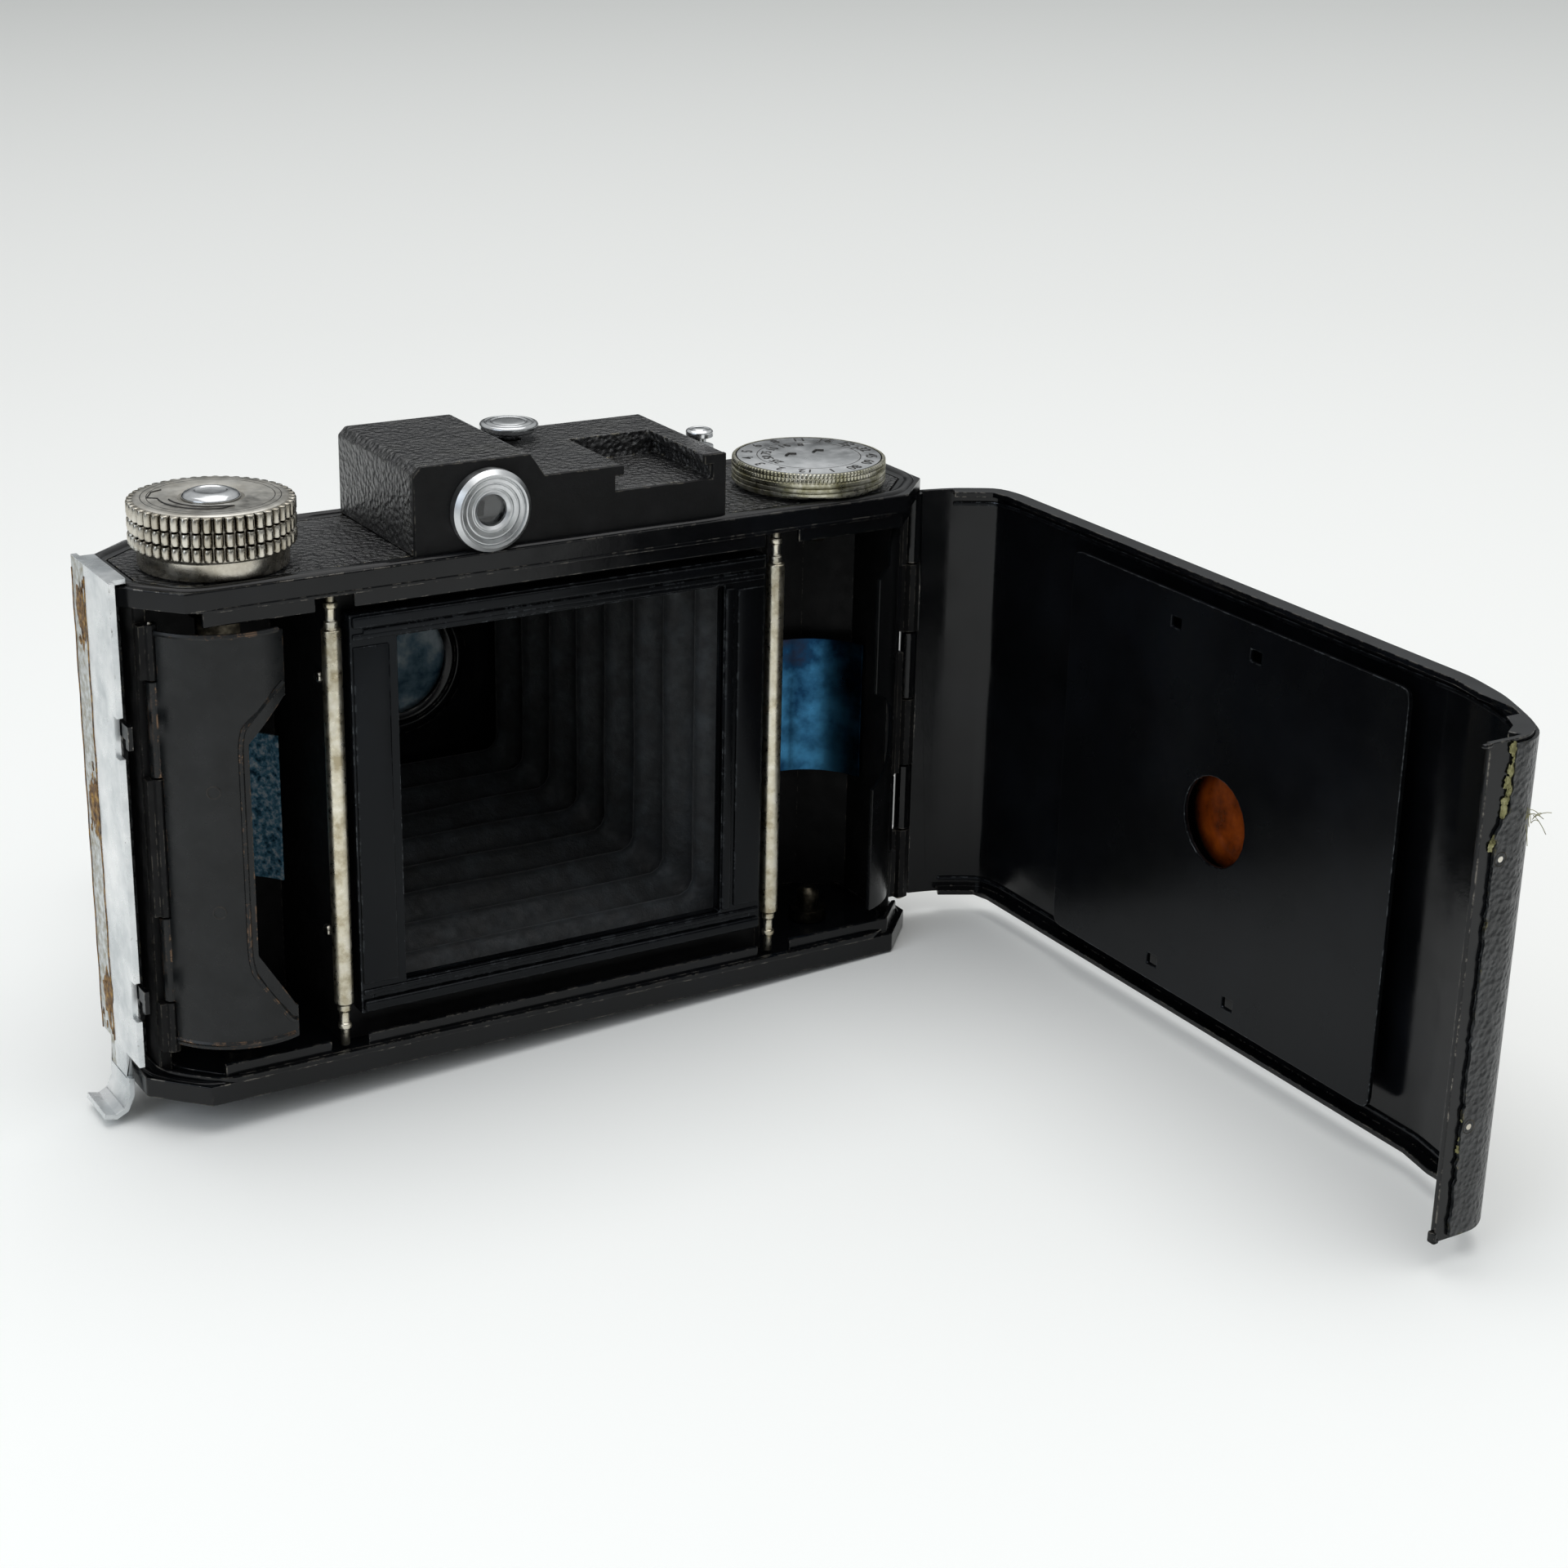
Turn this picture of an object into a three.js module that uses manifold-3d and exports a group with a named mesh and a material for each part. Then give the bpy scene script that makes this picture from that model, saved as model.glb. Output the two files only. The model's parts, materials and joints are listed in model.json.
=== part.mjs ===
// A roll-film folding camera for square pictures, opened for loading: the back door stands open on its
// end hinge, the drop bed is down and the lens standard is out on its bellows. Millimetres, +Z up, +Y
// towards the subject, origin at the centre of the base.
import * as THREE from "three";
import { mergeVertices } from "three/addons/utils/BufferGeometryUtils.js";
import Module from "manifold-3d";

const wasm = await Module();
wasm.setup();

// ---- driving dimensions ----
const HEIGHT = 80.7; // base to top plate
const HALF_LENGTH = 68.5;
const BACK = -16.2; // rear edge of the base and top plates
const FRONT = 16;
const LIP = 3.2; // thickness of the base and top plates
const SHELL_INSET = 2.6; // wall's outer face, in from the plates' edge
const WALL = 1.2;
const GATE_HALF = 28; // picture opening, 56 x 56
const GATE_Z = 41.2; // lens axis above the base
const FILM_Y = -14.3; // film plane
const GATE_PLATE_X = 35.6;
const GATE_PLATE_Z = 32.2;
const ROLLER = { x: 38, y: -13.1, r: 1.5, neck: 1.05, pin: 0.7 };
const SPOOL = { x: 51.8, y: -3.3, r: 12.6 }; // axis of each spool chamber, mirrored
const DIAL_X = 49.8;
const BAY_HALF = 36.4; // clear half width of the bellows bay
const OPENING_Z = [6.6, 74.4]; // front opening
const BAY_WALL_Y = -10.8; // wall behind the bellows
const DOOR_HINGE = { x: 69.9, y: -4.4 };
const DOOR_Z = [4.2, 77.2];
const DOOR_WALL = 0.9;
const DOOR_OPEN_DEG = 90;
const WINDOW = { x: 0, z: 40.4, r: 7.2 };
const BED_HINGE = { y: 17.6, z: 3.2 };
const BED_FLOOR = [1.2, 2.4];
const BED_HALF = 38;
const BED_END_Y = 89.6;
const STRUT = { foot: [42, 9.2], tail: [14, 34], x: [34.3, 35.1], half: 2 };
const PANEL_Y = 55; // rear face of the lens panel
const SHUTTER = { y: [56.5, 65.5], r: 19.5, bore: 9.5 };
const LEVER_R = 24; // reach of the longest finger tab about the lens axis
const FINDER = {
  x: [-24.9, 27.8], y: [-13.6, 14], base: HEIGHT + 0.05, high: 94.4, low: 90.9, step: [-5.9, -3.5] };
const SHOE = { x: [8.4, 25.5], floor: 87, lipZ: 89.4, lip: 1.5, frontY: 4 };
const EYEPIECE = { x: -13, z: 87 };
const RELEASE_CATCH = { x: 1.7, y: 8.6 };
const SHUTTER_BUTTON = [31, -0.3, 0];
const CRADLE_RADIUS = 13.3; // hinge line and cover of a spool cradle, about the spool's axis
const CRADLE_CUTS = [74.8, 66.3, 51.2, 29.2, 15.3, 7]; // knuckle ends, top to bottom
const DOOR_CUTS = [DOOR_Z[1], 65, 53, 41, 29, 17, DOOR_Z[0]];
// Outer face of the door's steel when shut, from the end flange round to the hinge.
const DOOR_PATH = [
  [-67.6, -2.6], [-67.6, -9.6], [-65.6, -12.6], [-60.8, -15.4], [-54, -18.2], [-46, -19.8],
  [61, -19.8], [65.6, -18.6], [69.2, -11.8], [70.9, -5.2]];
const PLEATS = { count: 8, depth: 2.2, rear: 32.6, front: 22.4, wall: 1 };
const FIT = 0.1; // air between pieces that stay together
const THROUGH = [0, HEIGHT]; // height of a cutter that passes right through
const ROUND = 24; // sides of a small round
const TEETH = 36; // knurling of the knob and the focus ring

const FINISH = {
  enamel: { color: "#1b1d20", roughness: 0.35, metalness: 0.3 },
  grain: { color: "#34343a", roughness: 0.75, metalness: 0 },
  leather: { color: "#232324", roughness: 0.7, metalness: 0 },
  nickel: { color: "#b5b0a5", roughness: 0.35, metalness: 1 },
  roller: { color: "#cfc8b4", roughness: 0.3, metalness: 1 },
  aluminium: { color: "#c9cbcc", roughness: 0.4, metalness: 1 },
  chrome: { color: "#d5d7d8", roughness: 0.15, metalness: 1 },
  blued: { color: "#24405e", roughness: 0.3, metalness: 1 },
  brass: { color: "#a98a4c", roughness: 0.35, metalness: 1 },
  cloth: { color: "#141414", roughness: 0.9, metalness: 0 },
  amber: { color: "#8a3e10", roughness: 0.2, metalness: 0 },
  glass: { color: "#a8b6c2", roughness: 0.05, metalness: 0 },
};

// ---- solids ----
// A closed three.js geometry as a solid that can be joined and cut.
function solid(geometry) {
  geometry.deleteAttribute("normal");
  geometry.deleteAttribute("uv");
  const merged = mergeVertices(geometry, 1e-4);
  const corners = merged.index.array;
  const triVerts = [];
  for (let i = 0; i < corners.length; i += 3) {
    const [a, b, c] = corners.slice(i, i + 3);
    if (a !== b && b !== c && c !== a) triVerts.push(a, b, c);
  }
  const vertProperties = new Float32Array(merged.attributes.position.array);
  const mesh = new wasm.Mesh({ numProp: 3, vertProperties, triVerts: new Uint32Array(triVerts) });
  return new wasm.Manifold(mesh);
}

const join = (first, ...rest) => rest.reduce((all, one) => all.add(one), first);
const cut = (first, ...rest) => rest.reduce((all, one) => all.subtract(one), first);

function box([x0, x1], [y0, y1], [z0, z1]) {
  const geometry = new THREE.BoxGeometry(x1 - x0, y1 - y0, z1 - z0);
  return solid(geometry.translate((x0 + x1) / 2, (y0 + y1) / 2, (z0 + z1) / 2));
}

// Turns a geometry made along Z so that it runs along the named axis.
function along(axis, geometry) {
  if (axis === "y") return geometry.rotateX(-Math.PI / 2);
  if (axis === "x") return geometry.rotateY(Math.PI / 2);
  return geometry;
}

// A cylinder from one place to another along an axis, through the point at.
function rod(axis, radius, [from, to], at, sides = ROUND) {
  const geometry = new THREE.CylinderGeometry(radius, radius, to - from, sides).rotateX(Math.PI / 2);
  along(axis, geometry.translate(0, 0, (from + to) / 2));
  return solid(geometry.translate(...at));
}

// A solid of revolution: [radius, place along the axis] points, closed or ending on the axis.
function turned(axis, profile, at, sides = ROUND) {
  const points = profile.map(([r, a]) => new THREE.Vector2(r, a));
  const geometry = new THREE.LatheGeometry(points, sides).rotateX(Math.PI / 2);
  return solid(along(axis, geometry).translate(...at));
}

// A tube or washer about an axis.
function ring(axis, outer, inner, [from, to], at, sides = ROUND) {
  const profile = [[inner, from], [outer, from], [outer, to], [inner, to], [inner, from]];
  return turned(axis, profile, at, sides);
}

// A flat outline in X and Y, given a height.
function prism(outline, [z0, z1]) {
  const shape = new THREE.Shape(outline.map(([x, y]) => new THREE.Vector2(x, y)));
  const geometry = new THREE.ExtrudeGeometry(shape, { depth: z1 - z0, bevelEnabled: false });
  return solid(geometry.translate(0, 0, z0));
}

// A flat outline in X and Z, given a depth along Y.
function slab(outline, [y0, y1]) {
  const shape = new THREE.Shape(outline.map(([x, z]) => new THREE.Vector2(x, z)));
  const geometry = new THREE.ExtrudeGeometry(shape, { depth: y1 - y0, bevelEnabled: false });
  return solid(geometry.rotateX(Math.PI / 2).translate(0, y1, 0));
}

// A flat outline in Y and Z, given a width along X.
function profileAcross(outline, [x0, x1]) {
  const shape = new THREE.Shape(outline.map(([y, z]) => new THREE.Vector2(y, z)));
  const geometry = new THREE.ExtrudeGeometry(shape, { depth: x1 - x0, bevelEnabled: false });
  return solid(geometry.rotateX(Math.PI / 2).rotateZ(Math.PI / 2).translate(x0, 0, 0));
}

// The corner where two lines, each shifted sideways, meet.
function shiftedCorner(before, at, after, distance) {
  const u = new THREE.Vector2(at[0] - before[0], at[1] - before[1]).normalize();
  const v = new THREE.Vector2(after[0] - at[0], after[1] - at[1]).normalize();
  const nu = new THREE.Vector2(-u.y, u.x);
  const nv = new THREE.Vector2(-v.y, v.x);
  const k = distance / (1 + nu.dot(nv));
  return [at[0] + (nu.x + nv.x) * k, at[1] + (nu.y + nv.y) * k];
}

// A path shifted to its left by a distance; the ends move square to the path.
function shifted(path, distance) {
  const last = path.length - 1;
  return path.map((at, i) => {
    const before = i > 0 ? path[i - 1] : [2 * at[0] - path[1][0], 2 * at[1] - path[1][1]];
    const onward = path[last - 1];
    const after = i < last ? path[i + 1] : [2 * at[0] - onward[0], 2 * at[1] - onward[1]];
    return shiftedCorner(before, at, after, distance);
  });
}

// A strip of sheet: the area between a path and the same path shifted to its left.
const ribbon = (path, thickness) => [...path, ...shifted(path, thickness).reverse()];

// The same path with each bend eased into a curve that starts this far from the corner.
function eased(path, reach, steps = 3) {
  return path.flatMap((corner, i) => {
    if (i === 0 || i === path.length - 1) return [corner];
    const [start, end] = [path[i - 1], path[i + 1]].map((next) => {
      const share = Math.min(reach / Math.hypot(next[0] - corner[0], next[1] - corner[1]), 0.45);
      return corner.map((c, d) => c + (next[d] - c) * share);
    });
    return Array.from({ length: steps + 1 }, (_, k) => {
      const t = k / steps;
      return corner.map((c, d) => start[d] * (1 - t) ** 2 + c * 2 * t * (1 - t) + end[d] * t * t);
    });
  });
}

// Points on an arc, angles in degrees.
function arc([cx, cy], radius, from, to, steps) {
  return Array.from({ length: steps + 1 }, (_, i) => {
    const angle = THREE.MathUtils.degToRad(from + ((to - from) * i) / steps);
    return [cx + radius * Math.cos(angle), cy + radius * Math.sin(angle)];
  });
}

// The camera's outline seen from above, drawn in by a distance.
function outline(inset) {
  const right = [[61, BACK], [HALF_LENGTH, -8.3], [HALF_LENGTH, 7.1], [59.5, 14.4], [50, FRONT]];
  const left = right.map(([x, y]) => [-x, y]).reverse();
  const ringed = [...right, ...left];
  const count = ringed.length;
  return ringed.map((at, i) =>
    shiftedCorner(ringed[(i + count - 1) % count], at, ringed[(i + 1) % count], inset));
}

// The corners of a ring of teeth, root and tip in turn, about a centre.
function teeth(root, tip, count, [cx, cy]) {
  const points = [];
  for (let i = 0; i < count; i += 1) {
    for (const [share, r] of [[0, root], [0.5, tip]]) {
      const angle = ((i + share) / count) * 2 * Math.PI;
      points.push([cx + r * Math.cos(angle), cy + r * Math.sin(angle)]);
    }
  }
  return points;
}

const camera = new THREE.Group();

function addPart(name, shape, finish, group = camera) {
  const made = shape.getMesh();
  const geometry = new THREE.BufferGeometry();
  const points = new Float32Array(made.vertProperties);
  geometry.setAttribute("position", new THREE.BufferAttribute(points, made.numProp));
  geometry.setIndex(new THREE.BufferAttribute(new Uint32Array(made.triVerts), 1));
  geometry.computeVertexNormals();
  const mesh = new THREE.Mesh(geometry, new THREE.MeshStandardMaterial(FINISH[finish]));
  mesh.name = name;
  group.add(mesh);
}

// ---- base and top plates ----
// The light trap: a rib just inside the plate's rear edge, broken where the rollers stand.
function lightTrap(z) {
  const past = [z[0] - 1, z[1] + 1];
  const rib = cut(prism(outline(1), z), prism(outline(1.9), past));
  const rear = box([-58.2, 66], [-20, -9], z);
  const rollerRoom = [-ROLLER.x, ROLLER.x].map((x) => box([x - 3, x + 3], [-20, -9], past));
  const between = box([3 - ROLLER.x, ROLLER.x - 3], [-15.2, FILM_Y - FIT], z);
  return join(cut(rib.intersect(rear), ...rollerRoom), between);
}

function basePlate() {
  const plate = prism(outline(0), [0, LIP]);
  const lugs = [-1, 1].map((side) => {
    const x = [side * 32 - 1.4, side * 32 + 1.4];
    return join(rod("x", 1.2, x, [0, BED_HINGE.y, BED_HINGE.z], 16), box(x, [14, BED_HINGE.y], [2, LIP]));
  });
  const rodHole = rod("x", 0.65, [-40, 40], [0, BED_HINGE.y, BED_HINGE.z], 12);
  const bushHole = rod("z", 6, [-1, 5], [30, 0, 0]);
  return cut(join(plate, lightTrap([LIP - 0.5, LIP + 2.7]), ...lugs), rodHole, bushHole);
}

function topPlate() {
  const recess = prism(outline(3.4), [HEIGHT - 0.6, HEIGHT + 1]);
  const plate = cut(prism(outline(0), [HEIGHT - LIP + 0.2, HEIGHT]), recess);
  const shaftHole = rod("z", 2.5, [70, 85], [-SPOOL.x, SPOOL.y, 0]);
  const dialHole = rod("z", 2.2, [70, 85], [DIAL_X, SPOOL.y, 0]);
  return cut(join(plate, lightTrap([74.9, 78])), shaftHole, dialHole);
}

function topInlay() {
  const sheet = prism(outline(3.6), [HEIGHT - 0.55, HEIGHT - 0.05]);
  const shaftHole = rod("z", 2.7, [70, 85], [-SPOOL.x, SPOOL.y, 0]);
  const dialHole = rod("z", 2.4, [70, 85], [DIAL_X, SPOOL.y, 0]);
  return cut(sheet, shaftHole, dialHole);
}

addPart("bottom_plate", basePlate(), "enamel");
addPart("top_plate", topPlate(), "enamel");
addPart("top_inlay", topInlay(), "grain");
addPart("tripod_bush", ring("z", 5.8, 3.1, [0, 5.5], [30, 0, 0]), "brass");
addPart("bed_hinge_rod", rod("x", 0.55, [-33.6, 33.6], [0, BED_HINGE.y, BED_HINGE.z], 12), "nickel");

// ---- body shell ----
const CRADLE_HINGE = arc([SPOOL.x, SPOOL.y], CRADLE_RADIUS, -24, 0, 1)[0];

// Knuckles of one hinge leaf: every other length of the hinge line.
function knuckles([x, y], radius, cuts, first, bore) {
  const lengths = [];
  for (let i = first; i < cuts.length - 1; i += 2) {
    lengths.push(ring("z", radius, bore, [cuts[i + 1] + 0.1, cuts[i] - 0.1], [x, y, 0], 10));
  }
  return lengths;
}

function bodyShell() {
  const z = [LIP + FIT, HEIGHT - LIP + FIT];
  const walls = cut(prism(outline(SHELL_INSET), z), prism(outline(SHELL_INSET + WALL), THROUGH));
  const openBack = box([-80, 80], [-30, -7.5], THROUGH);
  const opening = box([-BAY_HALF, BAY_HALF], [8, 30], OPENING_Z);
  const shell = cut(walls, openBack, opening);
  const bay = [-1, 1].map((side) => {
    const x = side < 0 ? [-BAY_HALF - 1.4, -BAY_HALF - 0.4] : [BAY_HALF + 0.4, BAY_HALF + 1.4];
    return box(x, [BAY_WALL_Y, 12.6], [z[0] + 0.05, z[1] - 0.05]);
  });
  const bellowsWall = cut(
    box([-BAY_HALF - 0.8, BAY_HALF + 0.8], [BAY_WALL_Y + 0.1, BAY_WALL_Y + 1], [z[0] + 0.1, z[1] - 0.1]),
    box([-30, 30], [-20, 0], [GATE_Z - 30, GATE_Z + 30]));
  const pieces = [];
  for (const side of [-1, 1]) {
    const [x, y] = [side * CRADLE_HINGE[0], CRADLE_HINGE[1]];
    const leaf = knuckles([x, y], 1.1, CRADLE_CUTS, 0, 0.5);
    const webs = [0, 2, 4].map((i) => {
      const across = side < 0 ? [-65.8, -64.8] : [64.8, 65.8];
      return box(across, [-9.2, -7.4], [CRADLE_CUTS[i + 1] + 0.2, CRADLE_CUTS[i] - 0.2]);
    });
    pieces.push(...leaf, ...webs);
  }
  const leafY = [DOOR_HINGE.y - 0.5, DOOR_HINGE.y + 0.5];
  const hingeLeaf = [1, 3, 5].map((i) =>
    box([65.8, DOOR_HINGE.x - 1.1], leafY, [DOOR_CUTS[i + 1] + 0.2, DOOR_CUTS[i] - 0.2]));
  const doorKnuckles = knuckles([DOOR_HINGE.x, DOOR_HINGE.y], 1.5, DOOR_CUTS, 1, 0.9);
  return join(shell, ...bay, bellowsWall, ...pieces, ...hingeLeaf, ...doorKnuckles);
}

addPart("body_shell", bodyShell(), "enamel");

const cradlePinZ = [CRADLE_CUTS[5] - 0.2, CRADLE_CUTS[0] + 0.2];
addPart("left_cradle_pin", rod("z", 0.42, cradlePinZ, [-CRADLE_HINGE[0], CRADLE_HINGE[1], 0], 10), "nickel");
addPart("right_cradle_pin", rod("z", 0.42, cradlePinZ, [...CRADLE_HINGE, 0], 10), "nickel");
addPart("door_hinge_pin", rod("z", 0.82, [3.7, 77.4], [DOOR_HINGE.x, DOOR_HINGE.y, 0], 12), "nickel");

// Covering on the front corners, wrapped round towards each end.
function frontCovering(side) {
  const z = [LIP + 1, HEIGHT - LIP - 1];
  const skin = cut(prism(outline(1.8), z), prism(outline(SHELL_INSET - 0.05), THROUGH));
  return skin.intersect(box(side < 0 ? [-80, -38.8] : [38.8, 80], [-2, 30], z));
}

addPart("front_covering_left", frontCovering(-1), "leather");
addPart("front_covering_right", frontCovering(1), "leather");

// ---- film gate and rollers ----
function filmGate() {
  const z = [GATE_Z - GATE_PLATE_Z, GATE_Z + GATE_PLATE_Z];
  const x = [-GATE_PLATE_X, GATE_PLATE_X];
  const tray = cut(
    box(x, [FILM_Y, BAY_WALL_Y - FIT], z),
    box([x[0] + 0.9, x[1] - 0.9], [FILM_Y + 1, 0], [z[0] + 0.9, z[1] - 0.9]),
    box([-GATE_HALF, GATE_HALF], [-20, 0], [GATE_Z - GATE_HALF, GATE_Z + GATE_HALF]));
  const rails = [-31.2, -29.4, 29.4, 31.2].map((offset) =>
    box([-33.5, 33.5], [FILM_Y - 0.3, FILM_Y + 0.1], [GATE_Z + offset - 0.4, GATE_Z + offset + 0.4]));
  return join(tray, ...rails);
}

addPart("film_gate", filmGate(), "enamel");

for (const [name, side] of [["left_roller", -1], ["right_roller", 1]]) {
  const profile = [
    [0, 3.9], [ROLLER.pin, 3.9], [ROLLER.pin, 6.7], [ROLLER.neck, 6.7], [ROLLER.neck, 10.8],
    [ROLLER.r, 11.1], [ROLLER.r, 71.3], [ROLLER.neck, 71.6], [ROLLER.neck, 75.6],
    [ROLLER.pin, 75.6], [ROLLER.pin, 77.1], [0, 77.1]];
  addPart(name, turned("z", profile, [side * ROLLER.x, ROLLER.y, 0], 14), "roller");
}

// ---- spool chambers ----
// A swing-out cover round part of a spool: its curved sheet with the cutters taken off, and its knuckles.
function cradle(centre, degrees, steps, z, hinge, cutters) {
  const cover = prism(ribbon(arc(centre, CRADLE_RADIUS - 0.4, ...degrees, steps), -0.8), z);
  const leaf = knuckles(hinge, 1.1, CRADLE_CUTS, 1, 0.5);
  const room = [0, 2, 4].map((i) =>
    rod("z", 1.4, [CRADLE_CUTS[i + 1] - 0.2, CRADLE_CUTS[i] + 0.2], [...hinge, 0], 8));
  const bore = rod("z", 0.5, [0, 80], [...hinge, 0], 10);
  return cut(join(cover, ...leaf), ...cutters, ...room, bore);
}

// The left-hand cover has a deep recess for the film and the spool's flanges.
function leftCradle() {
  const recess = [
    [-52.8, 57], [-46.8, 63.3], [-40, 63.3], [-40, 13.8], [-46.8, 13.8], [-52.8, 23.5]];
  const hinge = [-CRADLE_HINGE[0], CRADLE_HINGE[1]];
  return cradle([-SPOOL.x, SPOOL.y], [207, 293], 12, [8.5, 73.5], hinge, [slab(recess, [-25, 0])]);
}

// The right-hand cover is shorter, with a thumb notch at mid height.
function rightCradle() {
  const corner = slab([[50, 76], [61.2, 76], [58.6, 72], [58.6, 68.5], [56, 66.9], [50, 66.9]], [-25, 0]);
  const notch = rod("y", 9, [-25, -9], [53, 0, 38.8], 28);
  return cradle([SPOOL.x, SPOOL.y], [288, 333], 7, [8.5, 74.6], CRADLE_HINGE, [corner, notch]);
}

addPart("left_cradle_cover", leftCradle(), "enamel");
addPart("right_cradle_cover", rightCradle(), "enamel");

// A bowed spring that presses on the film, with a foot flat on the front wall.
function leafSpring(path) {
  return prism(ribbon(path, 0.4), [26, 50]);
}

const springArc = arc([-SPOOL.x, SPOOL.y], 12.9, 30, 85, 8);
addPart("left_leaf_spring", leafSpring([...springArc, [-52.2, 11.3], [-53.4, 11.1]]), "blued");
const springArcRight = arc([SPOOL.x, SPOOL.y], 12.4, 15, 85, 8);
addPart("right_leaf_spring", leafSpring([...springArcRight, [48, 11.6], [43, 11.6]]), "blued");

// Sprung pins that hold the bottom of each spool.
for (const [name, side] of [["left_spool_pin", -1], ["right_spool_pin", 1]]) {
  const profile = [
    [0, LIP + 0.2], [3.2, LIP + 0.2], [3.2, 5.4], [1.9, 5.4], [1.9, 8.2], [1.2, 9.2], [0, 9.2]];
  addPart(name, turned("z", profile, [side * SPOOL.x, SPOOL.y, 0], 14), "nickel");
}
const topPin = [[0, 71], [1.2, 71], [1.9, 72], [1.9, 74.8], [3.2, 74.8], [3.2, 77.3], [0, 77.3]];
addPart("right_top_pin", turned("z", topPin, [SPOOL.x, SPOOL.y, 0], 14), "nickel");

// ---- winding knob ----
function windingKnob() {
  const at = [-SPOOL.x, SPOOL.y];
  const profile = [
    [0, 81], [11, 81], [11, 83.8], [11.4, 84.2], [11.4, 90.3], [10.8, 90.9], [0, 90.9]];
  const core = turned("z", profile, [...at, 0], 32);
  const knurl = teeth(11.45, 12.2, TEETH, at);
  const rows = [[84.2, 85.9], [86.3, 88], [88.4, 90.1]].map((z) => prism(knurl, z));
  const screwRoom = rod("z", 4.5, [90.2, 92], [...at, 0]);
  const bore = rod("z", 2.3, [80, 91], [...at, 0], 20);
  return cut(join(core, ...rows), screwRoom, bore);
}

function windingShaft() {
  const at = [-SPOOL.x, SPOOL.y, 0];
  const shaft = rod("z", 2.2, [73.2, 90], at, 20);
  const key = box([-SPOOL.x - 3.4, -SPOOL.x + 3.4], [SPOOL.y - 0.6, SPOOL.y + 0.6], [69.6, 74.4]);
  const collar = rod("z", 4.4, [73.2, 76.8], at, 20);
  return join(shaft, key, collar);
}

addPart("winding_knob", windingKnob(), "nickel");
addPart("winding_shaft", windingShaft(), "nickel");
const dome = [[0, 90.35], [4.3, 90.35], [4.3, 91.1], [3.6, 91.6], [2.2, 92], [0, 92.15]];
addPart("knob_screw", turned("z", dome, [-SPOOL.x, SPOOL.y, 0], 24), "chrome");

// ---- exposure dial ----
function exposureDial() {
  const rim = [
    [0, 81.2], [12.2, 81.2], [12.6, 81.6], [12.6, 84.9], [12.2, 85.4], [11.9, 85.4], [11.9, 84.7],
    [0, 84.7]];
  const at = [DIAL_X, SPOOL.y, 0];
  return join(turned("z", rim, at, 40), rod("z", 2, [78.5, 82], at, 12));
}

function dialFace() {
  const disc = rod("z", 11.75, [84.8, 85.45], [DIAL_X, SPOOL.y, 0], 40);
  const slots = [DIAL_X - 2.4, DIAL_X + 2.4].map((x) =>
    box([x - 0.5, x + 0.5], [SPOOL.y - 1.2, SPOOL.y + 1.2], [84, 86]));
  return cut(disc, ...slots);
}

addPart("exposure_dial", exposureDial(), "nickel");
addPart("dial_face", dialFace(), "aluminium");

// ---- finder housing and accessory shoe ----
const finderOutline = [
  [FINDER.x[0], FINDER.base], [FINDER.x[1], FINDER.base], [FINDER.x[1], FINDER.low],
  [FINDER.step[1], FINDER.low], [FINDER.step[0], FINDER.high], [FINDER.x[0] + 1.2, FINDER.high],
  [FINDER.x[0], FINDER.high - 1.2]];

function shoeSlot() {
  const channel = box(SHOE.x, [-20, SHOE.frontY], [SHOE.floor, SHOE.lipZ]);
  const mouth = box([SHOE.x[0] + SHOE.lip, SHOE.x[1] - SHOE.lip], [-20, SHOE.frontY], [SHOE.floor, 95]);
  return join(channel, mouth);
}

function finderHousing() {
  const shell = slab(finderOutline, FINDER.y);
  const sight = box([-23.4, -6.6], [-20, 12.8], [80, 92.9]);
  const frontWindow = box([-19.5, -8.5], [10, 20], [83.4, 91.6]);
  const underShoe = box([-1.6, 26.4], [-12.4, 12.8], [80, SHOE.floor - 1.2]);
  const underTop = box([-1.6, 7.2], [-12.4, 12.8], [80, FINDER.low - 1.2]);
  const stemHole = rod("z", 1.9, [80, 95], [RELEASE_CATCH.x, RELEASE_CATCH.y, 0], 20);
  return cut(shell, sight, frontWindow, underShoe, underTop, shoeSlot(), stemHole);
}

function finderBackPlate() {
  const plate = slab(finderOutline, [FINDER.y[0] - 1, FINDER.y[0] - FIT]);
  return cut(plate, shoeSlot(), rod("y", 4.9, [-20, 0], [EYEPIECE.x, 0, EYEPIECE.z]));
}

addPart("finder_housing", finderHousing(), "grain");
addPart("finder_back_plate", finderBackPlate(), "enamel");
const eyepiece = [
  [2.45, -16.9], [5.4, -16.9], [6.3, -16.2], [6.3, -14.7], [4.7, -14.7], [4.7, -12.8], [3.35, -12.8],
  [3.35, -15.3], [2.45, -15.3], [2.45, -16.9]];
addPart("eyepiece_ring", turned("y", eyepiece, [EYEPIECE.x, 0, EYEPIECE.z]), "aluminium");
addPart("eyepiece_glass", rod("y", 3.2, [-15.2, -14], [EYEPIECE.x, 0, EYEPIECE.z], 24), "glass");
addPart("finder_front_glass", box([-20.8, -7.4], [11.5, 12.7], [82.4, 92.6]), "glass");

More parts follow.
